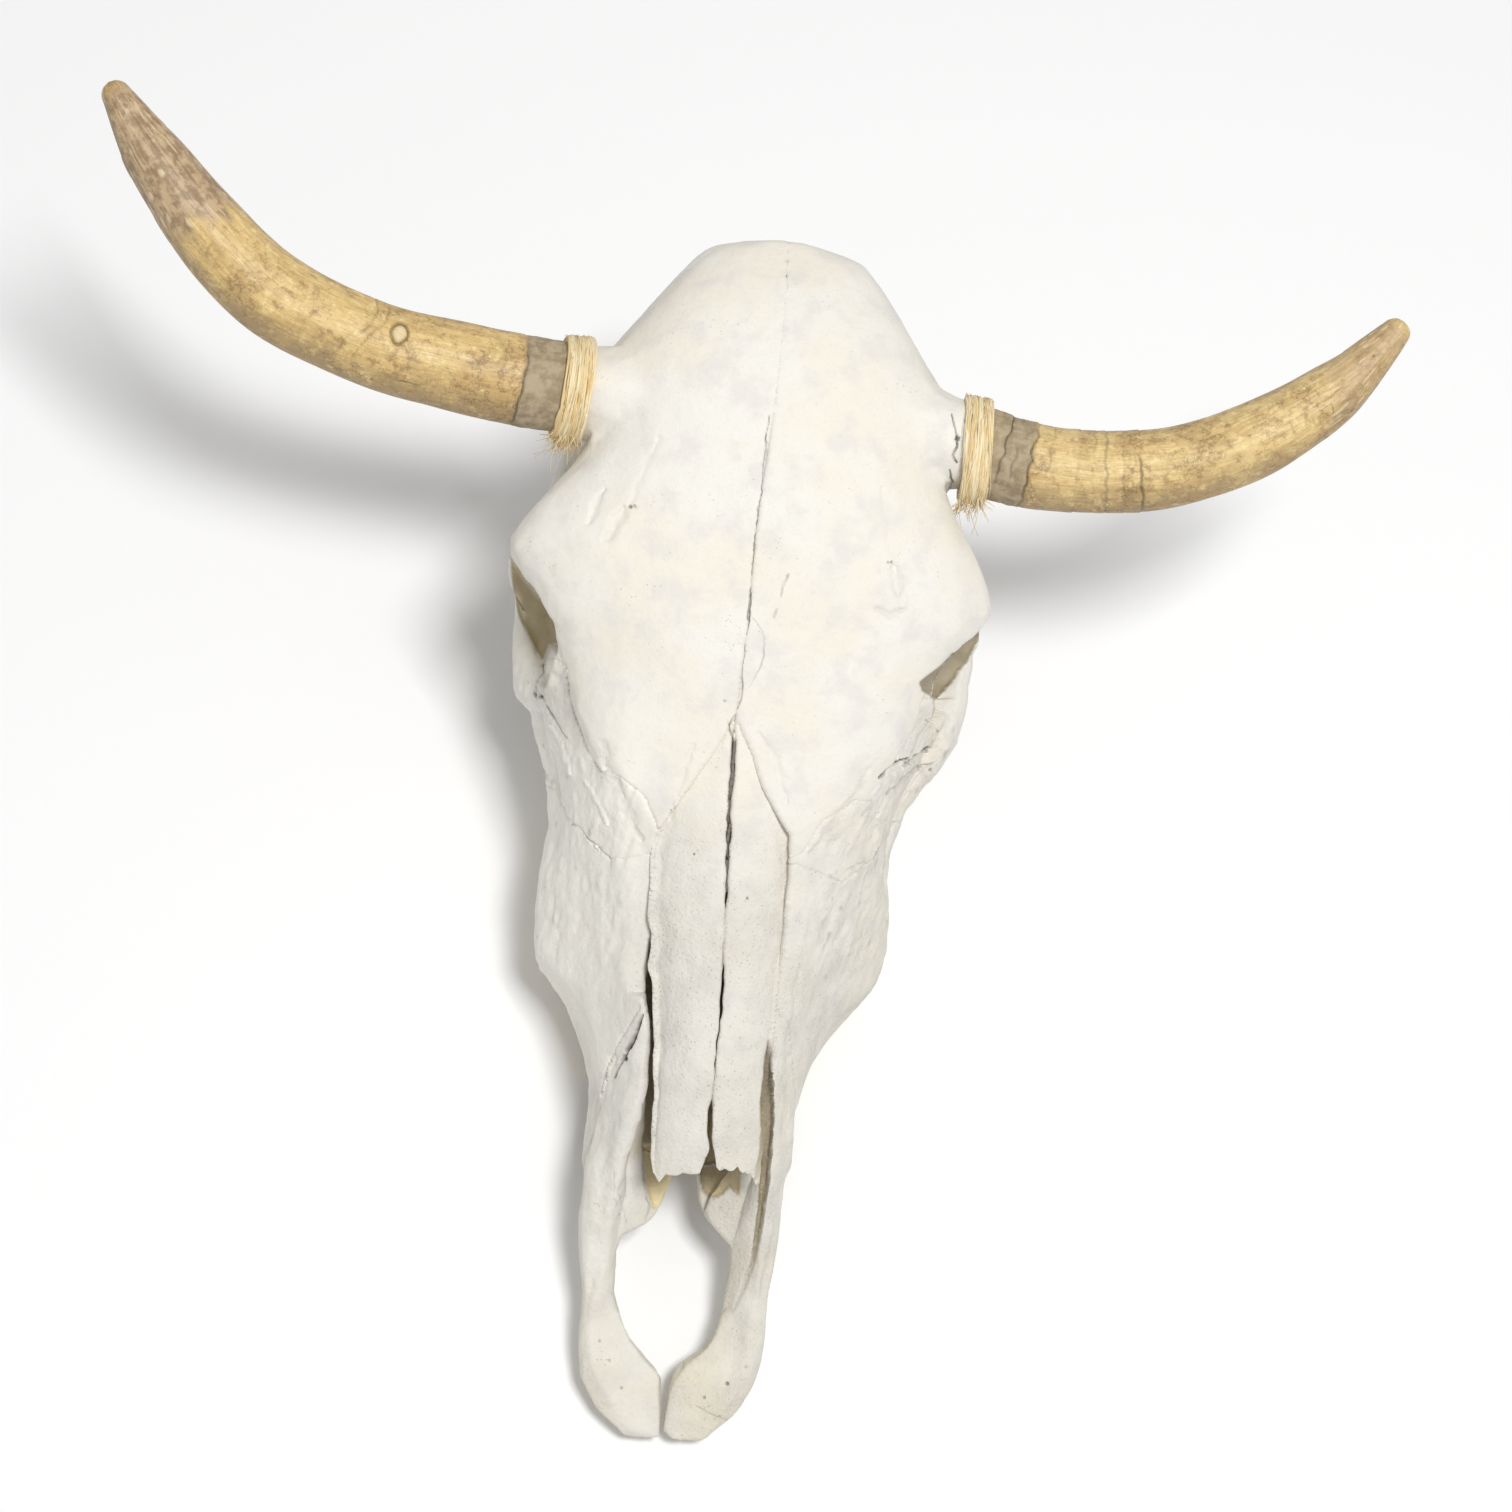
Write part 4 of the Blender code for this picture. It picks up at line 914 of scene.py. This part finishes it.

# %% [markdown]
# ## Whitened bone
# The skull was bleached and is nearly white, a little creamy in places and a little lilac-grey in others,
# with fine pores that show as specks and as tiny dents. The rough parts are greyer, and the same grey is painted
# shade on the nasal bones and on the animal's left side; a paler white is painted light on the right cheek.
# The stains and the dirt come on top, in the order in which they settled, and with the dirt comes painted
# shade. Each `mix` below lays one of them over what is there.
# %% Bone
def bone_finish():
    f = Finish("whitened_bone")
    worn, tooth = f.mask("worn"), f.mask("tooth")
    room = f.place()
    broad = f.noise(room, 46, 3.0)
    patches = f.noise(room, 13, 5.0, 0.6)
    fine = f.noise(room, 1.6, 4.0, 0.65)
    cells = f.node("TexVoronoi", {"feature": "F1"}, {"Vector": room, "Scale": 1.0 / (1.9 * MM)})
    pores = cells.ramp(0.16, 0.07) * (f.noise(room, 17, 2.0).ramp(0.54, 0.68) * 0.5 + worn * 0.7)
    cream = f.mix(broad.ramp(0.42, 0.60) * 0.7, (0.800, 0.775, 0.712), (0.790, 0.742, 0.628))
    lilac = f.mix(patches.ramp(0.46, 0.68) * 0.6, cream, (0.705, 0.675, 0.640))
    grain = f.mix(fine.ramp(0.50, 0.78) * 0.26, lilac, (0.620, 0.580, 0.515))
    # Grey for wear, and painted shade on the nasal bones and the animal's left side.
    greyed = f.mix(worn * (0.35 + patches.ramp(0.30, 0.65) * 0.4), grain, (0.660, 0.630, 0.560))
    # Painted light: a paler white laid over the right cheek.
    painted_light_mixed = f.mix(f.mask("painted_light") * 0.8, greyed, (0.900, 0.872, 0.795))
    specked = f.mix(pores * 0.55, painted_light_mixed, (0.400, 0.340, 0.260))
    olive = f.mix(patches.ramp(0.35, 0.65), (0.385, 0.325, 0.215), (0.520, 0.450, 0.310))
    # The bone's own yellow, which in the nose openings is also painted light.
    yellowed = f.mix(f.mask("yellow"), olive, (0.880, 0.740, 0.440))
    stained = f.mix(f.mask("tan"), specked, yellowed)
    enamel = f.mix(f.noise(room, 5, 4.0).ramp(0.4, 0.65), (0.720, 0.630, 0.450), (0.460, 0.350, 0.200))
    toothed = f.mix(tooth, stained, enamel)
    # Dark dirt in cracks and pits, and painted shade in the gaping crack and in the openings.
    dirt_and_shade = f.mix(f.mask("dark") * 0.92, toothed, (0.085, 0.068, 0.050))
    roughness = 0.50 + patches * 0.2 + worn * 0.12 - tooth * 0.2
    height = fine * 0.6 + patches * 0.8 - pores * 1.2 + worn * fine * 2.0
    return f.end(dirt_and_shade, roughness, height, 0.40, 0.9)


BONE = bone_finish()
for bone in bones.values():
    bone.finish("bone", BONE)

# %% [markdown]
# ## Horns
# A horn is a tapering tube that follows a curved line, so it is lofted: rings of points along the line,
# each one a little smaller than the one before. `through` bends a smooth curve through a few places. The
# points know how far along the horn and how far round it they sit, which is what horn is about: it grows in
# rings from the base and it splits and wears lengthwise.
# %% A loft along a curve
def unit(vectors):
    return vectors / np.linalg.norm(vectors, axis=-1, keepdims=True)


def full_turn(count):
    return np.linspace(0, 2 * np.pi, count, endpoint=False)


def run_of(path):
    """How far along a path each of its points is."""
    return np.concatenate(([0.0], np.cumsum(np.linalg.norm(np.diff(path, axis=0), axis=1))))


def through(places, count):
    """Evenly spaced points on a smooth curve through the places, and how far along each one is."""
    ends = np.vstack([2 * places[0] - places[1], places, 2 * places[-1] - places[-2]])
    dense = []
    for a, b, c, d in zip(ends, ends[1:], ends[2:], ends[3:]):
        for f in np.linspace(0.0, 1.0, 40, endpoint=False):
            bend = 2 * b + (c - a) * f + (2 * a - 5 * b + 4 * c - d) * f ** 2 + (3 * b - a - 3 * c + d) * f ** 3
            dense.append(bend / 2)
    dense = np.array(dense + [places[-1]])
    run = run_of(dense)
    steps = np.linspace(0.0, run[-1], count)
    return np.stack([np.interp(steps, run, axis) for axis in dense.T], axis=1), steps


def tube_faces(rings, around, closed=False):
    """The four-sided faces between the rings of a tube, which may close on itself."""
    row = np.arange(rings if closed else rings - 1)[:, None]
    j = np.arange(around)[None, :]
    k = (j + 1) % around
    here, below = row * around, (row + 1) % rings * around
    return np.stack([here + j, here + k, below + k, below + j], axis=-1).reshape(-1, 4)


print("a tube of 5 rings of 8 points has", len(tube_faces(5, 8)), "faces")

# %% Horn lines and sizes
HORN_LINES = {
    "right": ((71.6, -85, 3), (70.8, -105, 5), (68.2, -135, 10), (63.8, -167, 16), (51, -205, 25),
              (29, -234, 34), (3.5, -257, 42), (-15, -271.5, 47), (-22, -277, 49)),
    "left": ((78.2, 88.2, 3), (80.6, 100, 4), (82.6, 119, 7), (81.6, 142.6, 12), (76.4, 170, 18),
             (62.4, 199, 26), (41.5, 226, 34), (18.4, 245, 41), (10, 250.5, 43)),
}
HORN_DIAMETERS = {
    "right": (37, 37.3, 35.6, 34.2, 34.4, 31.6, 24, 14, 8.5),
    "left": (37, 36.2, 34.8, 33.6, 33, 31, 25.4, 14, 10),
}
print("places along each horn:", {side: len(line) for side, line in HORN_LINES.items()})

# %% Loft the horns
HORN_MASKS = ("dark", "butt", "tip", "pale", "under")
RINGS_ALONG = 340
AROUND = 150
EVENED = 25              # the taper is averaged over this many rings
TIP_ROUNDING = 4.5
FLAT_RADIUS = 18         # the noise on the horn is read on a tube of this size
FLAT_SQUEEZE = 0.1


def horn_taper(side, line, along):
    """The radius of every ring: an even taper with a blunt tip."""
    stations = run_of(line) / MM
    stations *= along[-1] / stations[-1]
    radii = np.interp(along, stations, np.array(HORN_DIAMETERS[side]) / 2)
    radii = np.convolve(np.pad(radii, EVENED // 2, mode="edge"), np.ones(EVENED) / EVENED, mode="valid")
    left = np.clip((along[-1] - along) / TIP_ROUNDING, 0, 1)
    return radii * np.sqrt(np.clip(1 - (1 - left) ** 2, 0.0, 1.0))


def horn_mesh(side, centres, radii):
    """Rings of points round the centres, joined by faces, with a fan at each end."""
    forward = unit(np.gradient(centres, axis=0))
    up = unit(OFF_FACE - (forward @ OFF_FACE)[:, None] * forward)
    across = np.cross(forward, up)
    turn = full_turn(AROUND)[None, :, None]
    spokes = np.cos(turn) * up[:, None, :] + np.sin(turn) * across[:, None, :]
    points = centres[:, None, :] + spokes * (radii * MM)[:, None, None]
    first = len(centres) * AROUND
    tail = first - AROUND
    faces = tube_faces(len(centres), AROUND).tolist()
    faces += [(first, (n + 1) % AROUND, n) for n in range(AROUND)]
    faces += [(first + 1, tail + n, tail + (n + 1) % AROUND) for n in range(AROUND)]
    mesh = bpy.data.meshes.new("horn_" + side)
    mesh.from_pydata(np.vstack([points.reshape(-1, 3), centres[:1], centres[-1:]]).tolist(), [], faces)
    if (coordinates(mesh)[0] - centres[0]) @ normals_of(mesh)[0] < 0:
        mesh.flip_normals()
    return mesh


def horn(side):
    line = np.array([face(*place) for place in HORN_LINES[side]])
    centres, along = through(line, RINGS_ALONG)
    along /= MM
    mesh = horn_mesh(side, centres, horn_taper(side, line, along))
    skin = Skin(new_object("horn_" + side + "_keratin", mesh), "horn_" + side, HORN_MASKS)
    skin.length = along[-1]
    skin.along = np.concatenate([np.repeat(along, AROUND), along[:1], along[-1:]])
    turn = np.concatenate([np.tile(full_turn(AROUND), len(along)), [0.0, 0.0]])
    around = [np.cos(turn) * FLAT_RADIUS, np.sin(turn) * FLAT_RADIUS]
    skin.flat = np.stack(around + [skin.along * FLAT_SQUEEZE], axis=1) * MM
    return skin


horns = {side: horn(side) for side in SIDES}
print("horn lengths:", {side: round(float(skin.length)) for side, skin in horns.items()}, "mm")

# %% [markdown]
# ## Rings, splits and a knot
# Both horns carry low lengthwise ridges. The left one has nine growth rings in its first 70 mm, each a small
# step with a dark groove behind it. The right one has a rough grey collar that ends in a crack, a pale knot
# with a dark outline halfway, and cracks beside it. The tips are browner, and the underside and the edges
# that turn away are darkened with dirt and painted shade.
# %% Rings and the collar
GROWTH_RINGS = {     # place along the horn, height
    "left": ((8.5, 0.8), (14, 0.5), (21, 1.1), (29, 0.3), (41, 0.8), (48, 0.3), (53, 0.4), (60, 0.3), (67, 0.9)),
    "right": ((20.5, 0.9), (30, 0.3)),
}
HORN_CRACKS = {
    "left": (((40, 226), (44, 223), (47, 220)),),
    "right": (((44.2, -163), (47.5, -160.6), (51.1, -159.9), (55, -160.2), (58.4, -162.1), (64.7, -167.2),
               (69.9, -170.9)),
              ((45.9, -167.3), (49, -165), (52.8, -164.3), (58.8, -166.6), (63.6, -170.5)),
              ((62, -172), (66, -176), (70, -178)), ((77, -140), (80, -146), (79, -153))),
}
COLLAR_END = 21
TIP_LENGTH = {"left": 44, "right": 68}
TIP_BROWN = {"left": 0.5, "right": 1.0}


def carve_rings(side, skin):
    """Growth rings that wander round the horn, and the grey collar below the binding."""
    round_only = skin.flat * [1, 1, 0]
    wave = 1.6 * lattice(round_only, 16, 80) + 0.7 * lattice(round_only, 6, 81)
    for k, (ring, height) in enumerate(GROWTH_RINGS[side]):
        off = skin.along - ring - wave - 0.8 * lattice(skin.flat, 3.0, 90 + k)
        strong = 0.55 + 0.45 * lattice(round_only, 11, 95 + k)
        skin.lift += height * 0.55 * ramp(off, -7, -0.6) * ramp(off, 0.3, -0.3) * strong
        skin.lift -= height * 0.7 * ramp(np.abs(off), 0.9, 0.0) * strong
        skin.mark("dark", min(0.75, 1.1 * height) * ramp(np.abs(off - 0.1), 0.9, 0.15) * ramp(strong, 0.25, 0.7))
    collar = ramp(skin.along - wave, COLLAR_END + 1.5, COLLAR_END - 1.5)
    skin.lift += collar * 0.35 * lattice(skin.points, 3.2, 100)
    skin.mark("butt", collar)


def wear_horn(side, skin):
    """Lengthwise ridges, a brown tip, pale flakes, an underside darkened with dirt and painted shade, and a few
    cracks.
    """
    to_tip = skin.length - skin.along
    free = ramp(to_tip, 2, 12)
    ridge = 0.30 * lattice(skin.flat, 5.5, 82) + 0.22 * lattice(skin.flat, 2.2, 83)
    ridge += 0.14 * lattice(skin.flat, 1.1, 84)
    skin.lift += (ridge + 0.35 * lattice(skin.points, 24, 85)) * free
    tip_start = skin.length - TIP_LENGTH[side]
    ragged = 9 * lattice(skin.flat * [1, 1, 0.25], 9, 101) + 7 * lattice(skin.flat * [1, 1, 0.4], 2.4, 102)
    browned = ramp(skin.along + ragged, tip_start - 2, tip_start + 7) * ramp(to_tip, 0, 7)
    skin.mark("tip", browned * TIP_BROWN[side])
    flakes = ramp(lattice(skin.flat * [1, 1, 3.2], 1.7, 103), 0.4, 0.7)
    flakes *= ramp(skin.along, tip_start - 12, tip_start + 4)
    skin.mark("pale", flakes)
    skin.lift += 0.3 * flakes * free
    patchy = 0.3 * lattice(skin.points, 9, 104)
    # Painted shade with some dirt: darker towards the edges that turn away and on the lower side.
    skin.mark("under", ramp(skin.facing - patchy, 0.6, -0.3))
    skin.mark("under", 0.9 * ramp(skin.normals @ DOWN_FACE + patchy, 0.25, 1.0))
    for line in HORN_CRACKS[side]:
        skin.crack(line, 0.42, 0.5, 0.5, wander=0.5)


for side, skin in horns.items():
    carve_rings(side, skin)
    wear_horn(side, skin)
print("deepest ring:", {side: skin.lift.min().round(2) for side, skin in horns.items()}, "mm")

# %% The knot and two holes
KNOT = (60.6, -154.9)            # s and t of its middle
KNOT_HALF = (4.7, 3.6)           # half its size down the face and across


def carve_knot(skin):
    """A raised, pale drop with a dark outline, narrower on the nose side."""
    found = skin.within(skin.s, skin.t, (KNOT, KNOT), 9)
    narrower = 1.0 + 0.28 * ramp(skin.s[found], 60, 66)
    down, over = (skin.s[found] - KNOT[0]) / KNOT_HALF[0], (skin.t[found] - KNOT[1]) / KNOT_HALF[1]
    gap = np.hypot(down, over * narrower) + 0.14 * lattice(skin.points[found], 4, 110)
    skin.lift[found] += 0.9 * ramp(gap, 1.0, 0.5) - 0.8 * ramp(np.abs(gap - 1.0), 0.22, 0.0)
    skin.mark("dark", 0.7 * ramp(np.abs(gap - 1.0), 0.25, 0.05), found)
    skin.mark("pale", ramp(gap, 0.95, 0.6), found)


carve_knot(horns["right"])
horns["right"].pit(36.3, -210.1, 0.9, 1.2, 1.0)
horns["left"].pit(26, 238, 0.9, 0.8, 0.9)
print("horn relief:", {side: (skin.lift.min().round(2), skin.lift.max().round(2)) for side, skin in horns.items()})

# %% [markdown]
# ## Horn finish
# Horn is stained in streaks that run lengthwise. The streaks come from ordinary noise, read at places that
# are squeezed ten times along the horn, so every spot is drawn out into a streak. Between gold and brown the
# grey collar, the brown tip, the pale flakes and the cracks are laid on with the masks.
# %% Horn
def horn_finish(name, gold, deep):
    f = Finish(name)
    lower, butt = f.mask("under"), f.mask("butt")
    grain, room = f.place("flat"), f.place()
    streaks = f.noise(grain, 2.4, 5.0, 0.62)
    hairs = f.noise(grain, 0.7, 3.0, 0.6)
    broad = f.noise(room, 24, 4.0)
    spots = f.noise(room, 4.5, 5.0, 0.65)
    veined = f.noise(room, 7.5, 6.0, 0.7)
    veins = f.node("Math", {"operation": "ABSOLUTE"}, {0: veined - 0.5}).ramp(0.035, 0.004)
    underside_dirt_and_shade = f.mix(spots.ramp(0.38, 0.60), (0.150, 0.090, 0.040), (0.380, 0.255, 0.125))
    collar = f.mix(spots.ramp(0.38, 0.62), (0.270, 0.210, 0.135), (0.430, 0.355, 0.245))
    blotched = streaks * 0.35 + spots * 0.65
    brown = f.mix(blotched.ramp(0.42, 0.60), (0.270, 0.175, 0.100), (0.560, 0.410, 0.250))
    colour = f.mix(streaks.ramp(0.36, 0.66) * 0.7, gold, deep)
    for amount, laid_on in (
        (hairs.ramp(0.50, 0.72) * 0.35, (0.300, 0.170, 0.060)),
        (hairs.ramp(0.47, 0.30) * 0.4, (0.920, 0.790, 0.500)),
        (broad.ramp(0.46, 0.62) * 0.5, (0.450, 0.280, 0.115)),
        (spots.ramp(0.46, 0.30) * 0.55, (0.950, 0.760, 0.370)),
        (spots.ramp(0.54, 0.68) * 0.6, (0.280, 0.165, 0.070)),
        # The underside mask lays on painted shade and dirt: more dark veins and a dark mottle below.
        (veins * (0.14 + broad.ramp(0.44, 0.6) * 0.35 + lower * 0.4), (0.120, 0.070, 0.030)),
        (lower * (0.35 + spots.ramp(0.35, 0.6) * 0.6), underside_dirt_and_shade),
        (butt * 0.85, collar),
        (f.mask("tip") * 0.9, brown),
        (f.mask("pale") * 0.6, (0.800, 0.660, 0.420)),
        (f.mask("dark") * 0.9, (0.045, 0.028, 0.015)),
    ):
        colour = f.mix(amount, colour, laid_on)
    roughness = 0.34 + spots * 0.2 + butt * 0.22 + hairs * 0.1
    height = hairs * 0.5 + streaks * 0.9 + spots * 0.25
    return f.end(colour, roughness, height, 0.35, 0.7)


HORN = {
    "left": horn_finish("horn_amber", (0.800, 0.600, 0.270), (0.560, 0.370, 0.150)),
    "right": horn_finish("horn_gold", (0.750, 0.540, 0.225), (0.560, 0.370, 0.140)),
}
for side, skin in horns.items():
    store(skin.obj.data, "flat", skin.flat)
    skin.finish("horn", HORN[side])

# %% [markdown]
# ## Fibre bindings
# Each horn is bound at its base with a flat winding of coarse plant fibre. A texture would look painted on,
# so every strand is a thin tube of its own. A strand goes once round, wandering a little to the side, and
# where two strands wander far enough they cross. The noise is read at the places on the ring itself, so it
# comes back to the same value after a full turn and the strand closes. Fine hairs lie over the top, and a
# fringe of loose ends leaves the ring on the nose side.
# %% Strands
HORN_ROOTS = {"right": ((72.4, -71, 1), (71.7, -81.8, 2.7)), "left": ((75.5, 71, 1), (77.2, 84.4, 2.6))}
FLOW_SQUEEZE = 0.15       # draws the streaks out along a strand


class Strands:
    """Many thin tubes round the base of one horn, collected into one mesh."""

    def __init__(self, side):
        root_start, root_end = (face(*place) for place in HORN_ROOTS[side])
        start, further = (face(*place) for place in HORN_LINES[side][:2])
        self.middle = (root_end + start) / 2
        self.axis = unit(further - root_start)
        if side == "left":                   # this winding sits a little askew
            self.axis = unit(self.axis - 0.2 * DOWN_FACE)
        self.up = unit(OFF_FACE - (self.axis @ OFF_FACE) * self.axis)
        self.nose = np.cross(self.up, self.axis)
        self.nose *= np.sign(self.nose @ DOWN_FACE)
        self.points, self.faces, self.shades, self.flows = [], [], [], []
        self.count = 0

    def on_ring(self, turn, radius, offset):
        """Places at some turns round the ring, with their distances from its axis and to its side."""
        spoke = np.cos(turn)[:, None] * self.up + np.sin(turn)[:, None] * self.nose
        spread = offset[:, None] * (self.axis - 0.12 * spoke)
        return self.middle + (spoke * radius[:, None] + spread) * MM

    def add(self, path, radii, shade, closed=False, sides=7):
        """A tube of about round section along the path, with its own shade."""
        if closed:
            ahead = np.roll(path, -1, axis=0) - np.roll(path, 1, axis=0)
        else:
            ahead = np.gradient(path, axis=0)
        ahead = unit(ahead)
        side = unit(np.cross(ahead, self.axis))
        other = np.cross(side, ahead)
        turn = full_turn(sides)[None, :, None]
        ring = np.cos(turn) * side[:, None, :] + np.sin(turn) * other[:, None, :]
        points = path[:, None, :] + ring * (np.broadcast_to(radii, len(path)) * MM)[:, None, None]
        rings = len(path)
        self.faces += (tube_faces(rings, sides, closed)[:, ::-1] + self.count).tolist()
        if not closed:
            end = np.arange(sides) + self.count
            self.faces += [end.tolist(), (end + (rings - 1) * sides)[::-1].tolist()]
        self.points.append(points.reshape(-1, 3))
        shades = np.full(rings * sides, shade)
        self.shades.append(shades)
        lengthwise = np.repeat(run_of(path) * FLOW_SQUEEZE, sides)
        self.flows.append(np.stack([lengthwise, np.tile(turn.ravel() * MM, rings), shades], axis=1))
        self.count += rings * sides


print("the left winding is centred at", Strands("left").middle.round(3))

# %% Winding and hairs
LAYERS = ((19.7, 12, 0.85), (20.9, 17, 0.62), (21.5, 15, 0.5))       # radius, strands, half thickness
BAND_WIDTH = 11.2
HAIRS = 34
HAIR_POINTS = 70


def wander(turn, size, seed):
    """Noise that comes back to the same value after a full turn."""
    return lattice(np.stack([np.cos(turn) * 20, np.sin(turn) * 20, turn * 0], axis=1) * MM, size, seed)


def wind(made, rng, sign):
    """Three layers of strands, each once round."""
    full = full_turn(200)
    for layer, (radius, strands, thick) in enumerate(LAYERS):
        for k in range(strands):
            seed = 1000 + 100 * layer + 7 * k + 5 * sign
            home = ((k + 0.5) / strands - 0.5) * (BAND_WIDTH - layer * 0.4) + rng.normal(0, 0.25)
            offset = home + 0.8 * wander(full, 16, seed) + 0.3 * wander(full, 6, seed + 1)
            out = radius + 0.3 * wander(full, 9, seed + 2) + rng.normal(0, 0.12)
            width = thick * (1 + 0.22 * wander(full, 7, seed + 3)) * rng.uniform(0.8, 1.2)
            made.add(made.on_ring(full, out, offset), width, rng.random(), closed=True)


def lay_hairs(made, rng):
    """Fine hairs that lie across the winding and lift at their ends."""
    across = np.linspace(-1, 1, HAIR_POINTS)
    for k in range(HAIRS):
        begin = rng.uniform(0, 2 * np.pi)
        arc = np.linspace(begin, begin + rng.uniform(1.2, 4.5), HAIR_POINTS)
        offset = rng.uniform(-5.6, 5.6) + rng.normal(0, 1.6) * across + 0.7 * wander(arc, 8, 3000 + k)
        out = 21.9 + 0.35 * wander(arc, 6, 3100 + k) + 0.8 * np.abs(across) ** 6
        thin = rng.uniform(0.13, 0.3) * np.sin(np.linspace(0.25, np.pi - 0.25, HAIR_POINTS))
        made.add(made.on_ring(arc, out, np.clip(offset, -6.6, 6.6)), thin, rng.random(), sides=5)


print("strands in a winding:", sum(strands for radius, strands, thick in LAYERS), "and", HAIRS, "hairs")

# %% Loose ends and the whole binding
LOOSE_ENDS = 135
BOUND_POINTS, FREE_POINTS = 16, 18        # of a loose end: under the winding, and out of it


def fray(made, rng):
    """Loose ends that leave the ring on the nose side and spread."""
    for k in range(LOOSE_ENDS):
        stray = rng.random() < 0.2
        leave = rng.uniform(1.15, 1.8)
        arc = np.linspace(leave - 0.8, leave, BOUND_POINTS)
        out, offset = 20.6 + rng.uniform(0, 1.3), rng.uniform(-5.6, 5.6)
        bound = made.on_ring(arc, np.full(BOUND_POINTS, out), np.full(BOUND_POINTS, offset))
        lean = rng.normal(0, 0.4) * made.axis + rng.normal(0.15, 0.25) * made.up + rng.uniform(0.0, 0.9) * made.nose
        run = np.linspace(0, rng.uniform(2.5, 9) * (1.6 if stray else 1.0), FREE_POINTS)[1:, None]
        bend = rng.normal(0, 0.03) * made.axis + rng.normal(-0.02, 0.03) * made.up
        free = bound[-1] + (run * (unit(bound[-1] - bound[-2]) + lean) + run ** 2 * bend) * MM
        path = np.vstack([bound, free])
        thick = rng.uniform(0.16, 0.44) * np.linspace(1.0, 0.35, len(path))
        made.add(path, thick, rng.random(), sides=5)


def binding(side):
    made = Strands(side)
    rng = np.random.default_rng(40 + SIDES[side])
    wind(made, rng, SIDES[side])
    lay_hairs(made, rng)
    fray(made, rng)
    mesh = bpy.data.meshes.new("binding_" + side)
    mesh.from_pydata(np.vstack(made.points).tolist(), [], made.faces)
    store(mesh, "shade", np.concatenate(made.shades))
    store(mesh, "flow", np.vstack(made.flows))
    return new_object("binding_" + side + "_fibre", mesh)


bindings = {side: binding(side) for side in SIDES}
print("faces of a binding:", len(bindings["left"].data.polygons))

# %% [markdown]
# ## Fibre finish
# Dry fibre is straw-coloured, and no two strands aged alike. Every strand carries one random number, `shade`,
# which picks its colour, so one material serves them all. The fine streaks come from noise that is read at
# `flow`, the squeezed length of the strand and the turn round it, so they bend with the strand.
# %% Fibre
def fibre_finish():
    f = Finish("straw_fibre")
    shade = f.mask("shade")
    streak = f.noise(f.place("flow"), 0.5, 3.0)
    straw = f.mix(shade.ramp(0.0, 1.0), (0.780, 0.580, 0.270), (0.920, 0.800, 0.540))
    aged = f.mix(streak.ramp(0.50, 0.72) * 0.4, straw, (0.480, 0.310, 0.110))
    pale = f.mix(shade.ramp(0.80, 0.95) * 0.5, aged, (0.900, 0.850, 0.700))
    return f.end(pale, 0.46 + streak * 0.15, streak, 0.12, 0.6)


FIBRE = fibre_finish()
for side, obj in bindings.items():
    dress(obj, "binding_" + side, "fibre", FIBRE)

# %% [markdown]
# ## The view
# The photo looks straight down on the face from about 1.3 m, with the skull turned a little in the frame.
# The camera hangs on the same line here, a few degrees off the face's own upright.
# %% Camera
VIEW_DISTANCE = 1.3
FRAME_WIDTH = 0.6284         # what the frame takes in at the skull's own distance
LEAN = math.radians(5.1)
ROLL = math.radians(6.0)
aim = Vector(face(214.3, 8.4, 0))
look = Vector(OFF_FACE * math.cos(LEAN) - TO_LEFT * math.sin(LEAN))
upward = Vector(-DOWN_FACE * math.cos(ROLL) - TO_LEFT * math.sin(ROLL))
rightward = upward.cross(look).normalized()
upward = look.cross(rightward)
camera_data = bpy.data.cameras.new("camera")
camera_data.lens = camera_data.sensor_width * VIEW_DISTANCE / FRAME_WIDTH
camera = new_object("camera", camera_data)
camera.location = aim + look * VIEW_DISTANCE
camera.rotation_euler = Matrix((rightward, upward, look)).transposed().to_euler()
bpy.context.scene.camera = camera
print("camera at", [round(c, 3) for c in camera.location])

# %% [markdown]
# ## Floor and lights
# The photo has a bright, nearly shadowless setting: a white sheet, light from all round, and one soft lamp
# towards the upper right, which puts pale shadows at the lower left. The lamp is half a metre wide, and the
# wider a lamp is, the softer its shadows are.
# %% Floor
FLOOR_WHITE = 0.95
WORLD_STRENGTH = 0.45
bpy.ops.mesh.primitive_plane_add(size=12)
floor = bpy.context.object
floor.name = "floor"
sheet = Finish("white_sheet")
sheet.shader.inputs["Base Color"].default_value = (FLOOR_WHITE, FLOOR_WHITE, FLOOR_WHITE, 1.0)
sheet.shader.inputs["Roughness"].default_value = 0.9
floor.data.materials.append(sheet.material)
world = bpy.data.worlds.new("studio")
bpy.context.scene.world = world
world.use_nodes = True
world.node_tree.nodes["Background"].inputs["Color"].default_value = (1, 1, 1, 1)
world.node_tree.nodes["Background"].inputs["Strength"].default_value = WORLD_STRENGTH
bpy.context.scene.view_settings.view_transform = "Standard"
print("world strength:", WORLD_STRENGTH)

# %% Lamp
LAMP_DISTANCE = 2.4
toward = (look + 0.21 * upward + 0.26 * rightward).normalized()
key = bpy.data.lights.new("key", "AREA")
key.size = 0.5
key.energy = 41
lamp = new_object("key", key)
lamp.location = aim + toward * LAMP_DISTANCE
lamp.rotation_euler = toward.to_track_quat("Z", "Y").to_euler()
print("lamp at", [round(c, 3) for c in lamp.location])
